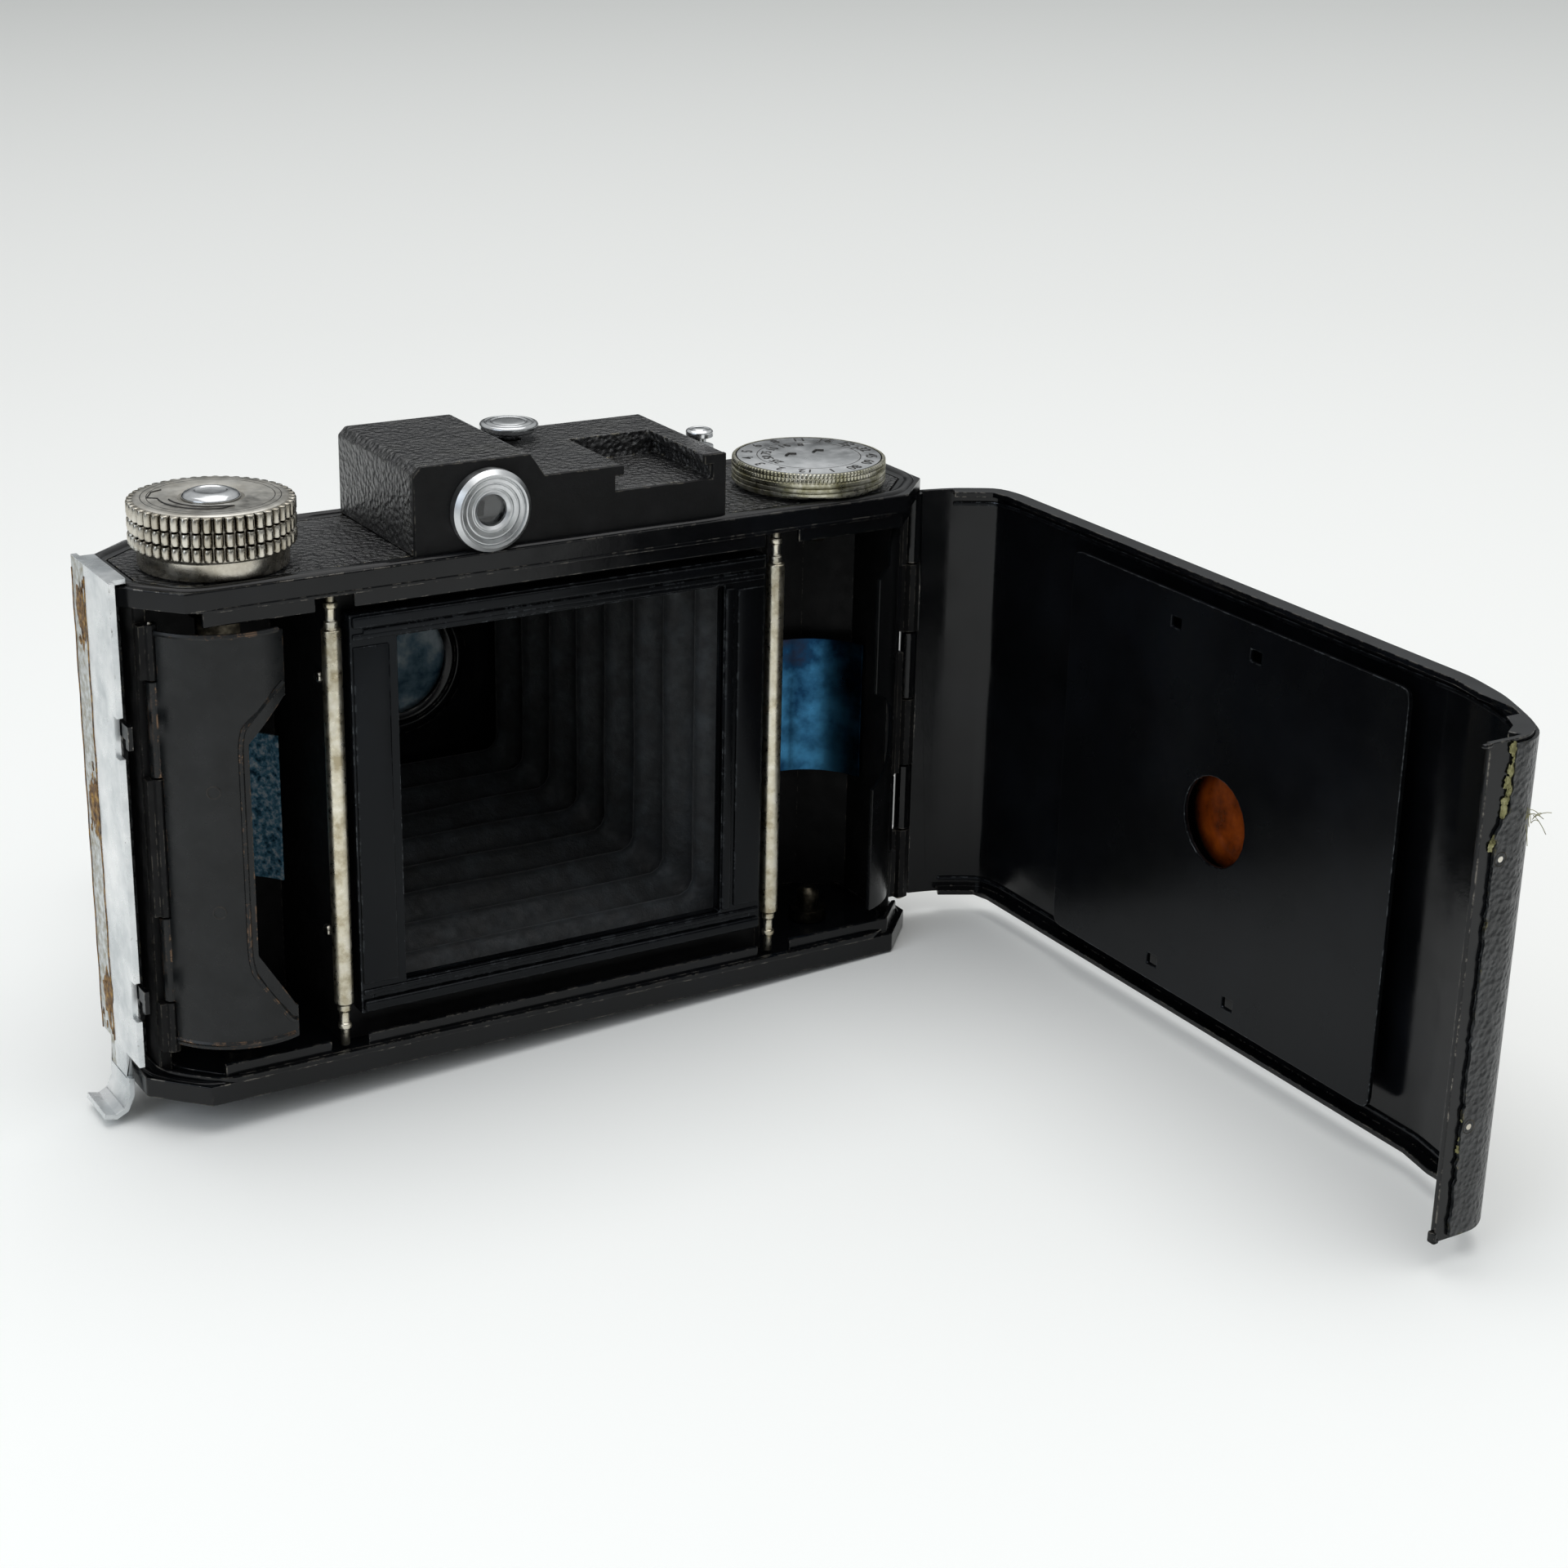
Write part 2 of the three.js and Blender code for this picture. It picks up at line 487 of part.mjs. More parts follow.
// ---- buttons on top ----
const catchButton = [
  [0, 86.5], [1.5, 86.5], [1.5, 92.1], [4.2, 92.1], [4.65, 92.5], [4.65, 93.3], [4.3, 93.7], [0, 93.7]];
const catchAt = [RELEASE_CATCH.x, RELEASE_CATCH.y, 0];
addPart("bed_release_button", turned("z", catchButton, catchAt), "chrome");
const socket = [[1.2, 80.75], [2.8, 80.75], [2.8, 85], [2.3, 85.4], [2.3, 88.6], [1.2, 88.6], [1.2, 80.75]];
addPart("release_socket", turned("z", socket, SHUTTER_BUTTON), "chrome");
const plunger = [[0, 82.6], [1.1, 82.6], [1.1, 90], [2.2, 90], [2.2, 90.9], [1.7, 91.3], [0, 91.3]];
addPart("release_plunger", turned("z", plunger, SHUTTER_BUTTON, 20), "chrome");

// ---- back latch on the left-hand end ----
function latchBar() {
  const strip = box([-70, -69.05], [-10.3, 6.7], [6, 81.9]);
  const fold = box([-70, -66.9], [-8.6, 5.2], [81, 81.9]);
  const neck = box([-70, -69.05], [-4, 3], [1.6, 6.5]);
  const curl = ribbon([[-69.05, 1.8], [-69.2, -1.2], [-70.3, -3.6], [-72.2, -4.6], [-74.2, -4.1]], -0.9);
  const tab = slab(curl, [-4.8, 3.8]);
  const edgeNotches = [55.4, 13.6].map((z) => box([-72, -68], [-12, -8.6], [z, z + 6.2]));
  return cut(join(strip, fold, neck, tab), ...edgeNotches);
}

function latchSlide() {
  const x = [-68.95, -68.25];
  const strip = box(x, [-5, 4], [10, 72]);
  const hooks = [58.4, 16.6].map((z) =>
    join(box(x, [-11.6, -4.8], [z, z + 2.2]), box(x, [-11.6, -10.4], [z - 1.4, z + 0.2])));
  return join(strip, ...hooks);
}

addPart("latch_bar", latchBar(), "chrome");
addPart("latch_slide", latchSlide(), "enamel");

// ---- back door, drawn shut and swung open about its hinge ----
const door = new THREE.Group();
door.position.set(DOOR_HINGE.x, DOOR_HINGE.y, 0);
door.rotation.z = THREE.MathUtils.degToRad(DOOR_OPEN_DEG);
const shut = new THREE.Group();
shut.position.set(-DOOR_HINGE.x, -DOOR_HINGE.y, 0);
door.add(shut);
camera.add(door);

function roundDoorWindow(yRange) {
  return rod("y", WINDOW.r, yRange, [WINDOW.x, 0, WINDOW.z]);
}

function doorShell() {
  const skin = prism(ribbon(eased(DOOR_PATH, 2.2), DOOR_WALL), DOOR_Z);
  const lipPath = shifted(DOOR_PATH.slice(1, 9), 0.4);
  const lipZ = [[DOOR_Z[0], DOOR_Z[0] + DOOR_WALL], [DOOR_Z[1] - DOOR_WALL, DOOR_Z[1]]];
  const lips = lipZ.map((z) => prism(ribbon(lipPath, 2.6), z));
  const bodyRoom = prism(outline(0.7), THROUGH).intersect(box([-60.5, 80], [-30, 0], THROUGH));
  const lipRing = cut(join(...lips), bodyRoom);
  const leaf = knuckles([DOOR_HINGE.x, DOOR_HINGE.y], 1.5, DOOR_CUTS, 0, 0.9);
  const room = [1, 3, 5].map((i) =>
    rod("z", 1.8, [DOOR_CUTS[i + 1] - 0.2, DOOR_CUTS[i] + 0.2], [DOOR_HINGE.x, DOOR_HINGE.y, 0], 12));
  const bore = rod("z", 0.9, [0, 80], [DOOR_HINGE.x, DOOR_HINGE.y, 0], 10);
  return cut(join(skin, lipRing, ...leaf), ...room, bore, roundDoorWindow([-30, -10]));
}

function doorCovering() {
  const path = shifted(eased(DOOR_PATH.slice(0, 8), 2.2), -0.08);
  const skin = prism(ribbon(path, -0.5), [DOOR_Z[0] + 0.6, DOOR_Z[1] - 0.6]);
  return cut(skin, roundDoorWindow([-30, -10]));
}

function pressurePlate() {
  const [x, low, high] = [39.25, GATE_Z - 32.6, GATE_Z + 32.6];
  const edge = eased([[0, low], [x, low], [x, high], [-x, high], [-x, low], [0, low]], 2).slice(0, -1);
  const plate = slab(edge, [-16, -15.2]);
  const slots = [[12.5, 69], [-6.5, 69], [12.5, 12.2], [-6.5, 12.2]].map(([x, z]) =>
    box([x - 1.2, x + 1.2], [-17, -14], [z - 0.9, z + 0.9]));
  return cut(plate, roundDoorWindow([-30, -10]), ...slots);
}

addPart("door_shell", doorShell(), "enamel", shut);
addPart("door_covering", doorCovering(), "leather", shut);
addPart("pressure_plate", pressurePlate(), "enamel", shut);
const springBow = ribbon([[-26, -18.5], [-13, -17.4], [0, -16.95], [13, -17.4], [26, -18.5]], 0.3);
addPart("pressure_spring", prism(springBow, [58, 64]), "blued", shut);
addPart("window_glass", rod("y", 8.4, [-18.8, -18.2], [WINDOW.x, 0, WINDOW.z]), "amber", shut);

// ---- bellows ----
// Square pleated tube from the bay wall to the lens panel.
function bellows() {
  const rearY = BAY_WALL_Y + 1.1;
  const frontY = PANEL_Y - 0.2;
  const outer = [];
  for (let i = 0; i <= 2 * PLEATS.count; i += 1) {
    const share = i / (2 * PLEATS.count);
    const crest = PLEATS.rear + (PLEATS.front - PLEATS.rear) * share;
    outer.push([crest - (i % 2) * PLEATS.depth, rearY + (frontY - rearY) * share]);
  }
  const inner = outer.map(([half, y]) => [half - PLEATS.wall, y]).reverse();
  const section = [...outer, ...inner, outer[0]];
  const diagonal = section.map(([half, y]) => new THREE.Vector2(half * Math.SQRT2, y));
  const geometry = new THREE.LatheGeometry(diagonal, 4).rotateY(Math.PI / 4);
  return solid(geometry.translate(0, 0, GATE_Z));
}

addPart("bellows", bellows(), "cloth");

// ---- drop bed ----
function bed() {
  const floor = box([-BED_HALF, BED_HALF], [19.1, BED_END_Y], BED_FLOOR);
  const wallZ = [BED_FLOOR[0], 6.4];
  const sides = [[-BED_HALF, 0.9 - BED_HALF], [BED_HALF - 0.9, BED_HALF]].map((x) =>
    box(x, [19.1, BED_END_Y], wallZ));
  const end = box([-BED_HALF, BED_HALF], [BED_END_Y - 0.9, BED_END_Y], wallZ);
  const hinge = [0, BED_HINGE.y, BED_HINGE.z];
  const barrel = ring("x", 1.2, 0.65, [-30.2, 30.2], hinge, 16);
  const web = cut(
    box([-30.2, 30.2], [BED_HINGE.y, 19.4], [BED_FLOOR[0] + 0.4, BED_FLOOR[1]]),
    rod("x", 0.65, [-40, 40], hinge, 16));
  const posts = [-24, 24].map((x) => box([x - 2, x + 2], [PANEL_Y, 60], [BED_FLOOR[0], 15]));
  const [footY, footZ] = STRUT.foot;
  const ears = [[-34, -33.2], [33.2, 34]].map((x) =>
    box(x, [footY - 4, footY + 4], [BED_FLOOR[0], footZ + 2]));
  const studs = [[-35.4, -33.4], [33.4, 35.4]].map((x) => rod("x", 1, x, [0, footY, footZ], 12));
  return join(floor, ...sides, end, barrel, web, ...posts, ...ears, ...studs);
}

const bedSkin = box([-37.4, 37.4], [20, BED_END_Y - 0.8], [0.6, BED_FLOOR[0] - 0.05]);
addPart("bed_plate", bed(), "enamel");
addPart("bed_covering", bedSkin, "leather");

// A strut from the bed's ear back to its stud behind the front opening.
function strut(side) {
  const [footY, footZ] = STRUT.foot;
  const [tailY, tailZ] = STRUT.tail;
  const x = side < 0 ? [-STRUT.x[1], -STRUT.x[0]] : STRUT.x;
  const studX = side < 0 ? [-36.1, -34.6] : [34.6, 36.1];
  const lean = Math.atan2(tailZ - footZ, tailY - footY);
  const across = [-Math.sin(lean) * STRUT.half, Math.cos(lean) * STRUT.half];
  const bar = profileAcross([
    [footY - across[0], footZ - across[1]], [tailY - across[0], tailZ - across[1]],
    [tailY + across[0], tailZ + across[1]], [footY + across[0], footZ + across[1]]], x);
  const ends = [STRUT.foot, STRUT.tail].map(([y, z]) => rod("x", STRUT.half, x, [0, y, z], 16));
  const stud = rod("x", 1.1, studX, [0, tailY, tailZ], 12);
  const eye = rod("x", 1.08, [-40, 40], [0, footY, footZ], 12);
  return cut(join(bar, ...ends, stud), eye);
}

addPart("left_strut", strut(-1), "nickel");
addPart("right_strut", strut(1), "nickel");

// ---- lens standard ----
function lensPanel() {
  const half = 24;
  const cornered = [
    [-half, -half + 4], [-half + 4, -half], [half - 4, -half], [half, -half + 4],
    [half, half - 6], [half - 6, half], [-half + 6, half], [-half, half - 6]];
  const plate = slab(cornered.map(([x, z]) => [x, z + GATE_Z]), [PANEL_Y, PANEL_Y + 1.4]);
  const legs = [-1, 1].map((side) =>
    box([side * 24 - 2, side * 24 + 2], [PANEL_Y, PANEL_Y + 3], [15.3, 26]));
  return cut(join(plate, ...legs), rod("y", 12, [50, 60], [0, 0, GATE_Z]));
}

const LENS = [0, 0, GATE_Z];

// A lever that turns about the lens axis: a short curved shoe on the shutter's rim with a finger tab.
function rimLever(middle, span, tip, y) {
  const axis = [LENS[0], LENS[2]];
  const shoe = ribbon(arc(axis, SHUTTER.r + 0.3, middle - span / 2, middle + span / 2, 6), -0.8);
  const root = SHUTTER.r + 0.8;
  const tab = ribbon(arc(axis, root, middle - 3.2, middle + 3.2, 2), root - tip);
  return join(slab(shoe, y), slab(tab, y));
}

function focusRing() {
  const knurl = slab(teeth(11.6, 12.1, TEETH, [LENS[0], LENS[2]]), [65.8, 72]);
  return cut(knurl, rod("y", 8.7, [60, 80], LENS));
}

const rearCell = [
  [9.4, 51.5], [13.2, 51.5], [13.5, 51.8], [13.5, 54.9], [11.8, 54.9], [11.8, 56.4], [10.3, 56.4],
  [10.3, 52.3], [9.4, 51.9], [9.4, 51.5]];
const rearLens = [[0, 52.5], [7, 52.7], [10.1, 53.3], [10.1, 55.3], [0, 55.8]];
const frontLens = [[0, 66.4], [8.5, 66.6], [8.5, 69], [5, 70], [0, 70.5]];
addPart("lens_panel", lensPanel(), "enamel");
addPart("rear_lens_cell", turned("y", rearCell, LENS), "enamel");
addPart("rear_lens_glass", turned("y", rearLens, LENS), "glass");
addPart("shutter_housing", ring("y", SHUTTER.r, SHUTTER.bore, SHUTTER.y, LENS, 40), "enamel");
addPart("aperture_blades", ring("y", 9.3, 4, [59.6, 60], LENS), "blued");
addPart("shutter_blades", rod("y", 9.3, [61.6, 62], LENS), "blued");
addPart("speed_ring", ring("y", 18.9, 12.5, [65.6, 67.4], LENS, 40), "aluminium");
addPart("focus_ring", focusRing(), "nickel");
addPart("front_lens_glass", turned("y", frontLens, LENS), "glass");
addPart("cocking_lever", rimLever(60, 26, LEVER_R, [57.4, 58.8]), "chrome");
addPart("aperture_lever", rimLever(178, 24, LEVER_R - 1, [59.6, 60.8]), "chrome");
addPart("shutter_lever", rimLever(118, 26, LEVER_R, [62.4, 64]), "chrome");

export default camera;
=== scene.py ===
import json
import math
import random

import bmesh
import bpy
from mathutils import Matrix, Vector, noise


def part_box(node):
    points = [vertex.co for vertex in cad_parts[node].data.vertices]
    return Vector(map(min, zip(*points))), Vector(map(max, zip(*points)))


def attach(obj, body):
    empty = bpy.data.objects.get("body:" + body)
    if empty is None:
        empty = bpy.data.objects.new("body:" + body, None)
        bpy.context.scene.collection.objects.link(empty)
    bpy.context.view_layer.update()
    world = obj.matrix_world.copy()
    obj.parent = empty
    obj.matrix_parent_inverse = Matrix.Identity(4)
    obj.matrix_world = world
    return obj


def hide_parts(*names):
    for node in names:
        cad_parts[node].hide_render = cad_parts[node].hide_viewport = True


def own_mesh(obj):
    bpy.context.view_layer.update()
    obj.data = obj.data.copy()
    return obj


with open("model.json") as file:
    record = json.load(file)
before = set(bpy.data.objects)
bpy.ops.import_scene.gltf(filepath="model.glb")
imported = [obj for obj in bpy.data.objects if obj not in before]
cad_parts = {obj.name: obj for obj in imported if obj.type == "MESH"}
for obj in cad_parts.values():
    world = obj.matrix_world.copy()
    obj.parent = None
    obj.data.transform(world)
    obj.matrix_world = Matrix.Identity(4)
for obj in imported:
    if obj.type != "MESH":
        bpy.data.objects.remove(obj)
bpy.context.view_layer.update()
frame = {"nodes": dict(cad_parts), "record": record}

# A square-format roll-film folding camera with its back open. Lengths here are millimetres until a
# finished mesh is scaled to metres.
MM = 0.001
BODY_OF = {n: body for body, nodes in frame["record"]["behaviour"]["bodies"].items() for n in nodes}
SLOT_OF = {part["node"]: part["material_slot"] for part in frame["record"]["subparts"]}
TURN = {"x": Matrix.Rotation(math.pi / 2, 4, "Y"), "y": Matrix.Rotation(-math.pi / 2, 4, "X"), "z": Matrix()}

# ---- dimensions shared with the frame ----
HEIGHT = 80.7
GATE_Z = 41.2
GATE_HALF = 28
FILM_Y = -14.3
SPOOL_X, SPOOL_Y = 51.8, -3.3
DIAL_X = 49.8
EYEPIECE = (-13, 0, 87)
CATCH = (1.7, 8.6, 0)
RELEASE = (31, -0.3, 0)
HINGE = (69.9, -4.4, 0)
WINDOW_Z, WINDOW_R = 40.4, 7.2
FLANGE_Y = -142.48  # outer face of the covering on the open door's far flange
SPOOL_PIN = [(0, 3.4), (3.2, 3.4), (3.2, 5.4), (1.9, 5.4), (1.9, 8.2), (1.2, 9.2), (0, 9.2)]
CHIP_SIZE = 2.1  # spacing of the chips along worn edges
LENS = (0, 0, GATE_Z)
BELLOWS = {"rear": -9.7, "front": 54.8, "rear_half": 32.6, "front_half": 22.4, "pleats": 8}

# ---- camera, floor and light ----
scene = bpy.context.scene
scene.view_settings.view_transform = "Standard"

eye = bpy.data.cameras.new("eye")
eye.sensor_width = 36
eye.lens = 66.03
eye.clip_start = 0.01
view = bpy.data.objects.new("eye", eye)
scene.collection.objects.link(view)
# Seen from the left of the film side and a little above, with the head of the tripod slightly off level.
AROUND, RAISED, LEAN = math.radians(-31.387), math.radians(20.789), math.radians(1.315)
view.matrix_world = (
    Matrix.Translation(Vector((-190.27, -391.41, 201.40)) * MM) @ Matrix.Rotation(AROUND, 4, "Z")
    @ Matrix.Rotation(math.pi / 2 - RAISED, 4, "X") @ Matrix.Rotation(LEAN, 4, "Z"))
scene.camera = view


def lin(colour):
    """An sRGB hex colour as linear RGBA."""
    parts = [int(colour[i:i + 2], 16) / 255 for i in (1, 3, 5)]
    return tuple(c / 12.92 if c <= 0.04045 else ((c + 0.055) / 1.055) ** 2.4 for c in parts) + (1.0,)


def add(tree, kind, settings=None, links=None):
    """Adds a node with its settings (socket values, properties or ramp stops) and links."""
    node = tree.nodes.new("ShaderNode" + kind)
    for key, value in (settings or {}).items():
        if key == "stops":
            ramp = node.color_ramp.elements
            while len(ramp) < len(value):
                ramp.new(1.0)
            for stop, (at, colour) in zip(ramp, value):
                stop.position = at
                stop.color = lin(colour)
        elif isinstance(key, int) or key in node.inputs:
            node.inputs[key].default_value = value
        else:
            setattr(node, key, value)
    for key, source in (links or {}).items():
        tree.links.new(source, node.inputs[key])
    return node


def surface(name, tones, patch, gloss, metal=0.0, grain=(), wear=None, grime_and_shade=None, **shader):
    """A procedural finish.

    tones: dark, middle and light colour of its slow variation, over patches of this many mm.
    gloss: lowest and highest roughness. grain: (pattern, size mm, height mm) bumps, where pebble is
    rounded cells and every other pattern is plain noise.
    wear: (colour, reach mm, amount) where edges rub through; on the edge-worn cover enamel it is also a painted
    highlight along every edge.
    grime: (colour, reach mm) darkening in corners by ambient occlusion, which is dirt and verdigris on the metals and
    painted shade on the bellows cloth and the celluloid window.
    """
    made = bpy.data.materials.new(name)
    made.use_nodes = True
    tree = made.node_tree
    tree.nodes.clear()
    place = add(tree, "TexCoord").outputs["Object"]
    cloud = add(
        tree, "TexNoise", {"Scale": 1 / (patch * MM), "Detail": 5.0, "Roughness": 0.6}, {"Vector": place})
    stops = [(0.34, tones[0]), (0.5, tones[1]), (0.68, tones[2])]
    colour = add(tree, "ValToRGB", {"stops": stops}, {"Fac": cloud.outputs["Fac"]}).outputs["Color"]
    smear = add(tree, "TexNoise", {"Scale": 1 / (patch * 0.37 * MM), "Detail": 6.0}, {"Vector": place})
    rough = add(
        tree, "MapRange", {"From Min": 0.3, "From Max": 0.7, "To Min": gloss[0], "To Max": gloss[1]},
        {"Value": smear.outputs["Fac"]}).outputs["Result"]
    metallic = None
    # Corners darkened by ambient occlusion: painted shade, and on the metals also their dirt.
    if grime_and_shade:
        shade = add(tree, "AmbientOcclusion", {"Distance": grime_and_shade[1] * MM, "samples": 6})
        corner = add(
            tree, "MapRange", {"From Min": 0.35, "From Max": 0.85, "To Min": 1.0, "To Max": 0.0},
            {"Value": shade.outputs["AO"]})
        colour = add(
            tree, "Mix", {"data_type": "RGBA", 7: lin(grime_and_shade[0])},
            {0: corner.outputs["Result"], 6: colour}).outputs[2]
    if wear:
        edge = add(tree, "Bevel", {"Radius": wear[1] * MM, "samples": 4})
        flat = add(tree, "NewGeometry").outputs["Normal"]
        turn = add(tree, "VectorMath", {"operation": "DOT_PRODUCT"}, {0: edge.outputs["Normal"], 1: flat})
        chips = add(
            tree, "TexNoise", {"Scale": 1 / (CHIP_SIZE * MM), "Detail": 6.0, "Roughness": 0.75},
            {"Vector": place})
        rub = add(tree, "MapRange", {"From Min": 1.0, "From Max": 0.9}, {"Value": turn.outputs["Value"]})
        spared = 0.5 - 0.25 * wear[2]
        mask = add(
            tree, "MapRange", {"From Min": spared, "From Max": spared + 0.06, "To Min": 1.0, "To Max": 0.0},
            {"Value": chips.outputs["Fac"]})
        bare = add(
            tree, "Math", {"operation": "MULTIPLY", "use_clamp": True},
            {0: rub.outputs["Result"], 1: mask.outputs["Result"]}).outputs["Value"]
        colour = add(tree, "Mix", {"data_type": "RGBA", 7: lin(wear[0])}, {0: bare, 6: colour}).outputs[2]
        if metal < 0.5:
            metallic = bare
    height = None
    for pattern, size, tall in grain:
        if pattern == "pebble":
            cells = add(
                tree, "TexVoronoi", {"Scale": 1 / (size * MM), "feature": "SMOOTH_F1", "Smoothness": 0.7},
                {"Vector": place}).outputs["Distance"]
        else:
            cells = add(
                tree, "TexNoise", {"Scale": 1 / (size * MM), "Detail": 6.0, "Roughness": 0.65},
                {"Vector": place}).outputs["Fac"]
        bump = add(tree, "Bump", {"Distance": tall * MM, "Strength": 1.0}, {"Height": cells})
        if height is not None:
            tree.links.new(height, bump.inputs["Normal"])
        height = bump.outputs["Normal"]
    links = {"Base Color": colour, "Roughness": rough}
    if height is not None:
        links["Normal"] = height
    if metallic is not None:
        links["Metallic"] = metallic
    skin = add(tree, "BsdfPrincipled", {"Metallic": metal, **shader}, links)
    add(tree, "OutputMaterial", {}, {"Surface": skin.outputs["BSDF"]})
    return made


# Stoving enamel dipped over pressed steel: deep black, glassy with a faint ripple, edges rubbed bare.
ENAMEL = surface(
    "stoving_enamel_black", ("#050607", "#08090b", "#0d0f12"), 18, (0.1, 0.24),
    grain=(("ripple", 6.0, 0.03), ("dust", 0.35, 0.004)), wear=("#8d8880", 0.3, 0.3),
    **{"Specular IOR Level": 0.3})
# Inside faces of the same enamel, handled less and dustier: a little greyer, with a cool sheen.
ENAMEL_DUSTY = surface(
    "stoving_enamel_dusty", ("#060708", "#08090b", "#0c0e11"), 24, (0.2, 0.29),
    grain=(("ripple", 14.0, 0.012), ("dust", 0.4, 0.003)), wear=("#6d7276", 0.25, 0.3),
    **{"Specular IOR Level": 0.2, "Specular Tint": lin("#e2e8ee")})
# Thin matt enamel sprayed inside the chambers and on the finder's back: dead black with a dry, sandy tooth.
ENAMEL_MATT = surface(
    "matt_enamel_sprayed", ("#070707", "#0b0b0c", "#131314"), 8, (0.48, 0.68),
    grain=(("noise", 0.55, 0.05), ("noise", 0.2, 0.02)), wear=("#77736a", 0.25, 0.25),
    **{"Specular IOR Level": 0.25})
# Enamel worn to bright metal along its edges where fingers lift the cover, and the pale line carried round every edge
# as a painted highlight.
ENAMEL_EDGE_WORN_AND_LIT = surface(
    "stoving_enamel_edge_worn_and_highlit", ("#060708", "#090a0b", "#0f1012"), 12, (0.16, 0.3),
    grain=(("ripple", 5.0, 0.02), ("dust", 0.4, 0.004)), wear=("#b8b1a2", 0.35, 1.7),
    **{"Specular IOR Level": 0.3})
# Enamel of the folding spool cover, rubbed by film backing paper to an even dark grey.
ENAMEL_RUBBED = surface(
    "stoving_enamel_rubbed", ("#0b0d0e", "#121415", "#191b1c"), 7, (0.22, 0.38),
    grain=(("ripple", 4.0, 0.02), ("dust", 0.4, 0.01)), wear=("#8a6f58", 0.45, 0.35),
    **{"Specular IOR Level": 0.32})
# Crinkle enamel stamped with fine leather grain: dark, with many small glints on its ridges.
GRAINED = surface(
    "grained_crinkle_enamel", ("#111112", "#1b1b1c", "#2a2a28"), 7, (0.16, 0.3),
    grain=(("pebble", 0.85, 0.5), ("noise", 0.45, 0.2)), wear=("#97907c", 0.45, 0.4),
    **{"Specular IOR Level": 0.95})
# Leathercloth embossed with a fine pebble: near black with a dull waxy sheen.
LEATHER = surface(
    "leathercloth_embossed", ("#121415", "#1d1f20", "#2f3132"), 6, (0.24, 0.4),
    grain=(("pebble", 0.8, 0.4), ("noise", 0.7, 0.2)), wear=("#77704e", 0.5, 0.5))
# Nickel plate gone warm with handling, brown dirt packed in its corners.
NICKEL = surface(
    "nickel_plate_worn", ("#a19a8a", "#c4beb1", "#dedacf"), 5, (0.18, 0.34), metal=1.0,
    grain=(("noise", 0.6, 0.01),), grime_and_shade=("#2c2113", 0.9))
# Flat nickel kept cleaner, faintly brushed round.
NICKEL_FACE = surface(
    "nickel_plate_brushed", ("#aaa69d", "#c0bdb5", "#d2cfc8"), 4, (0.28, 0.46), metal=1.0,
    grain=(("noise", 0.3, 0.008),))
# The dial's rim, where polish and skin have left gold and green verdigris in the knurling.
NICKEL_VERDIGRIS = surface(
    "nickel_plate_verdigris", ("#8a8667", "#b9b6a2", "#dedbd0"), 2.4, (0.22, 0.4), metal=1.0,
    grain=(("noise", 0.5, 0.01),), grime_and_shade=("#3d3a1c", 0.9))
# Nickel dulled nearly black: tarnish, and painted shade where it sits deep in the chambers.
NICKEL_DULL_AND_SHADED = surface(
    "nickel_plate_tarnished_and_shaded", ("#211e19", "#38342c", "#5d574b"), 2, (0.3, 0.5), metal=1.0)
# The plate on the film rollers, polished by film but flecked with rust.
ROLLER_NICKEL = surface(
    "nickel_plate_roller", ("#b0a58a", "#d6cfba", "#e8e3d4"), 2.5, (0.24, 0.4), metal=1.0,
    grain=(("noise", 0.5, 0.03),))
# Turned aluminium, clear lacquered: pale, faintly ringed by the tool.
ALUMINIUM = surface(
    "aluminium_turned", ("#b9bbbc", "#cfd1d2", "#dfe0e1"), 6, (0.26, 0.42), metal=1.0,
    grain=(("noise", 0.25, 0.006),))
# Chromium plate, bright with a few cloudy rubs.
CHROME = surface(
    "chromium_plate", ("#b7b9bb", "#cbcdce", "#dcddde"), 7, (0.12, 0.26), metal=1.0,
    grime_and_shade=("#4a4840", 0.6))
# Plated latch strip where it was never covered: smooth and silvery, chipped along its corners.
BARE_STRIP = surface(
    "zinc_plate_smooth", ("#c4c9cb", "#dde0e1", "#f0f1f1"), 9, (0.2, 0.42), metal=0.85,
    grain=(("noise", 1.2, 0.02),), wear=("#4d4634", 0.45, 0.55))
# The same strip where leathercloth was torn off: etched, mottled, flecked with old glue.
TORN_STRIP = surface(
    "zinc_plate_etched", ("#a59f8c", "#c3c5c2", "#dfe2e1"), 1.3, (0.36, 0.6), metal=0.7,
    grain=(("noise", 0.5, 0.12),), wear=("#5f4a26", 0.9, 0.8))
# Spring steel heat-blued in a flame: deep blue running into brown, brightest where it bows out.
BLUED = surface(
    "spring_steel_blued", ("#2b1a12", "#173a58", "#4384ad"), 13, (0.26, 0.38), metal=1.0,
    grain=(("noise", 0.7, 0.012),))
# The left spring has lost its temper colour in a crazed net, and all its tones are painted paler to stand in for light
# falling on it in its chamber.
BLUED_CRAZED_AND_LIT = surface(
    "spring_steel_crazed_and_lit", ("#1d4358", "#6aa3c2", "#e6f3f7"), 0.9, (0.25, 0.42), metal=0.5,
    grain=(("noise", 0.6, 0.1),))
# Turned brass gone yellow-brown, dirt in its thread and corners.
BRASS = surface(
    "brass_turned", ("#8a6d34", "#a98a4c", "#bfa263"), 4, (0.28, 0.42), metal=1.0, grime_and_shade=("#30240f", 0.8))
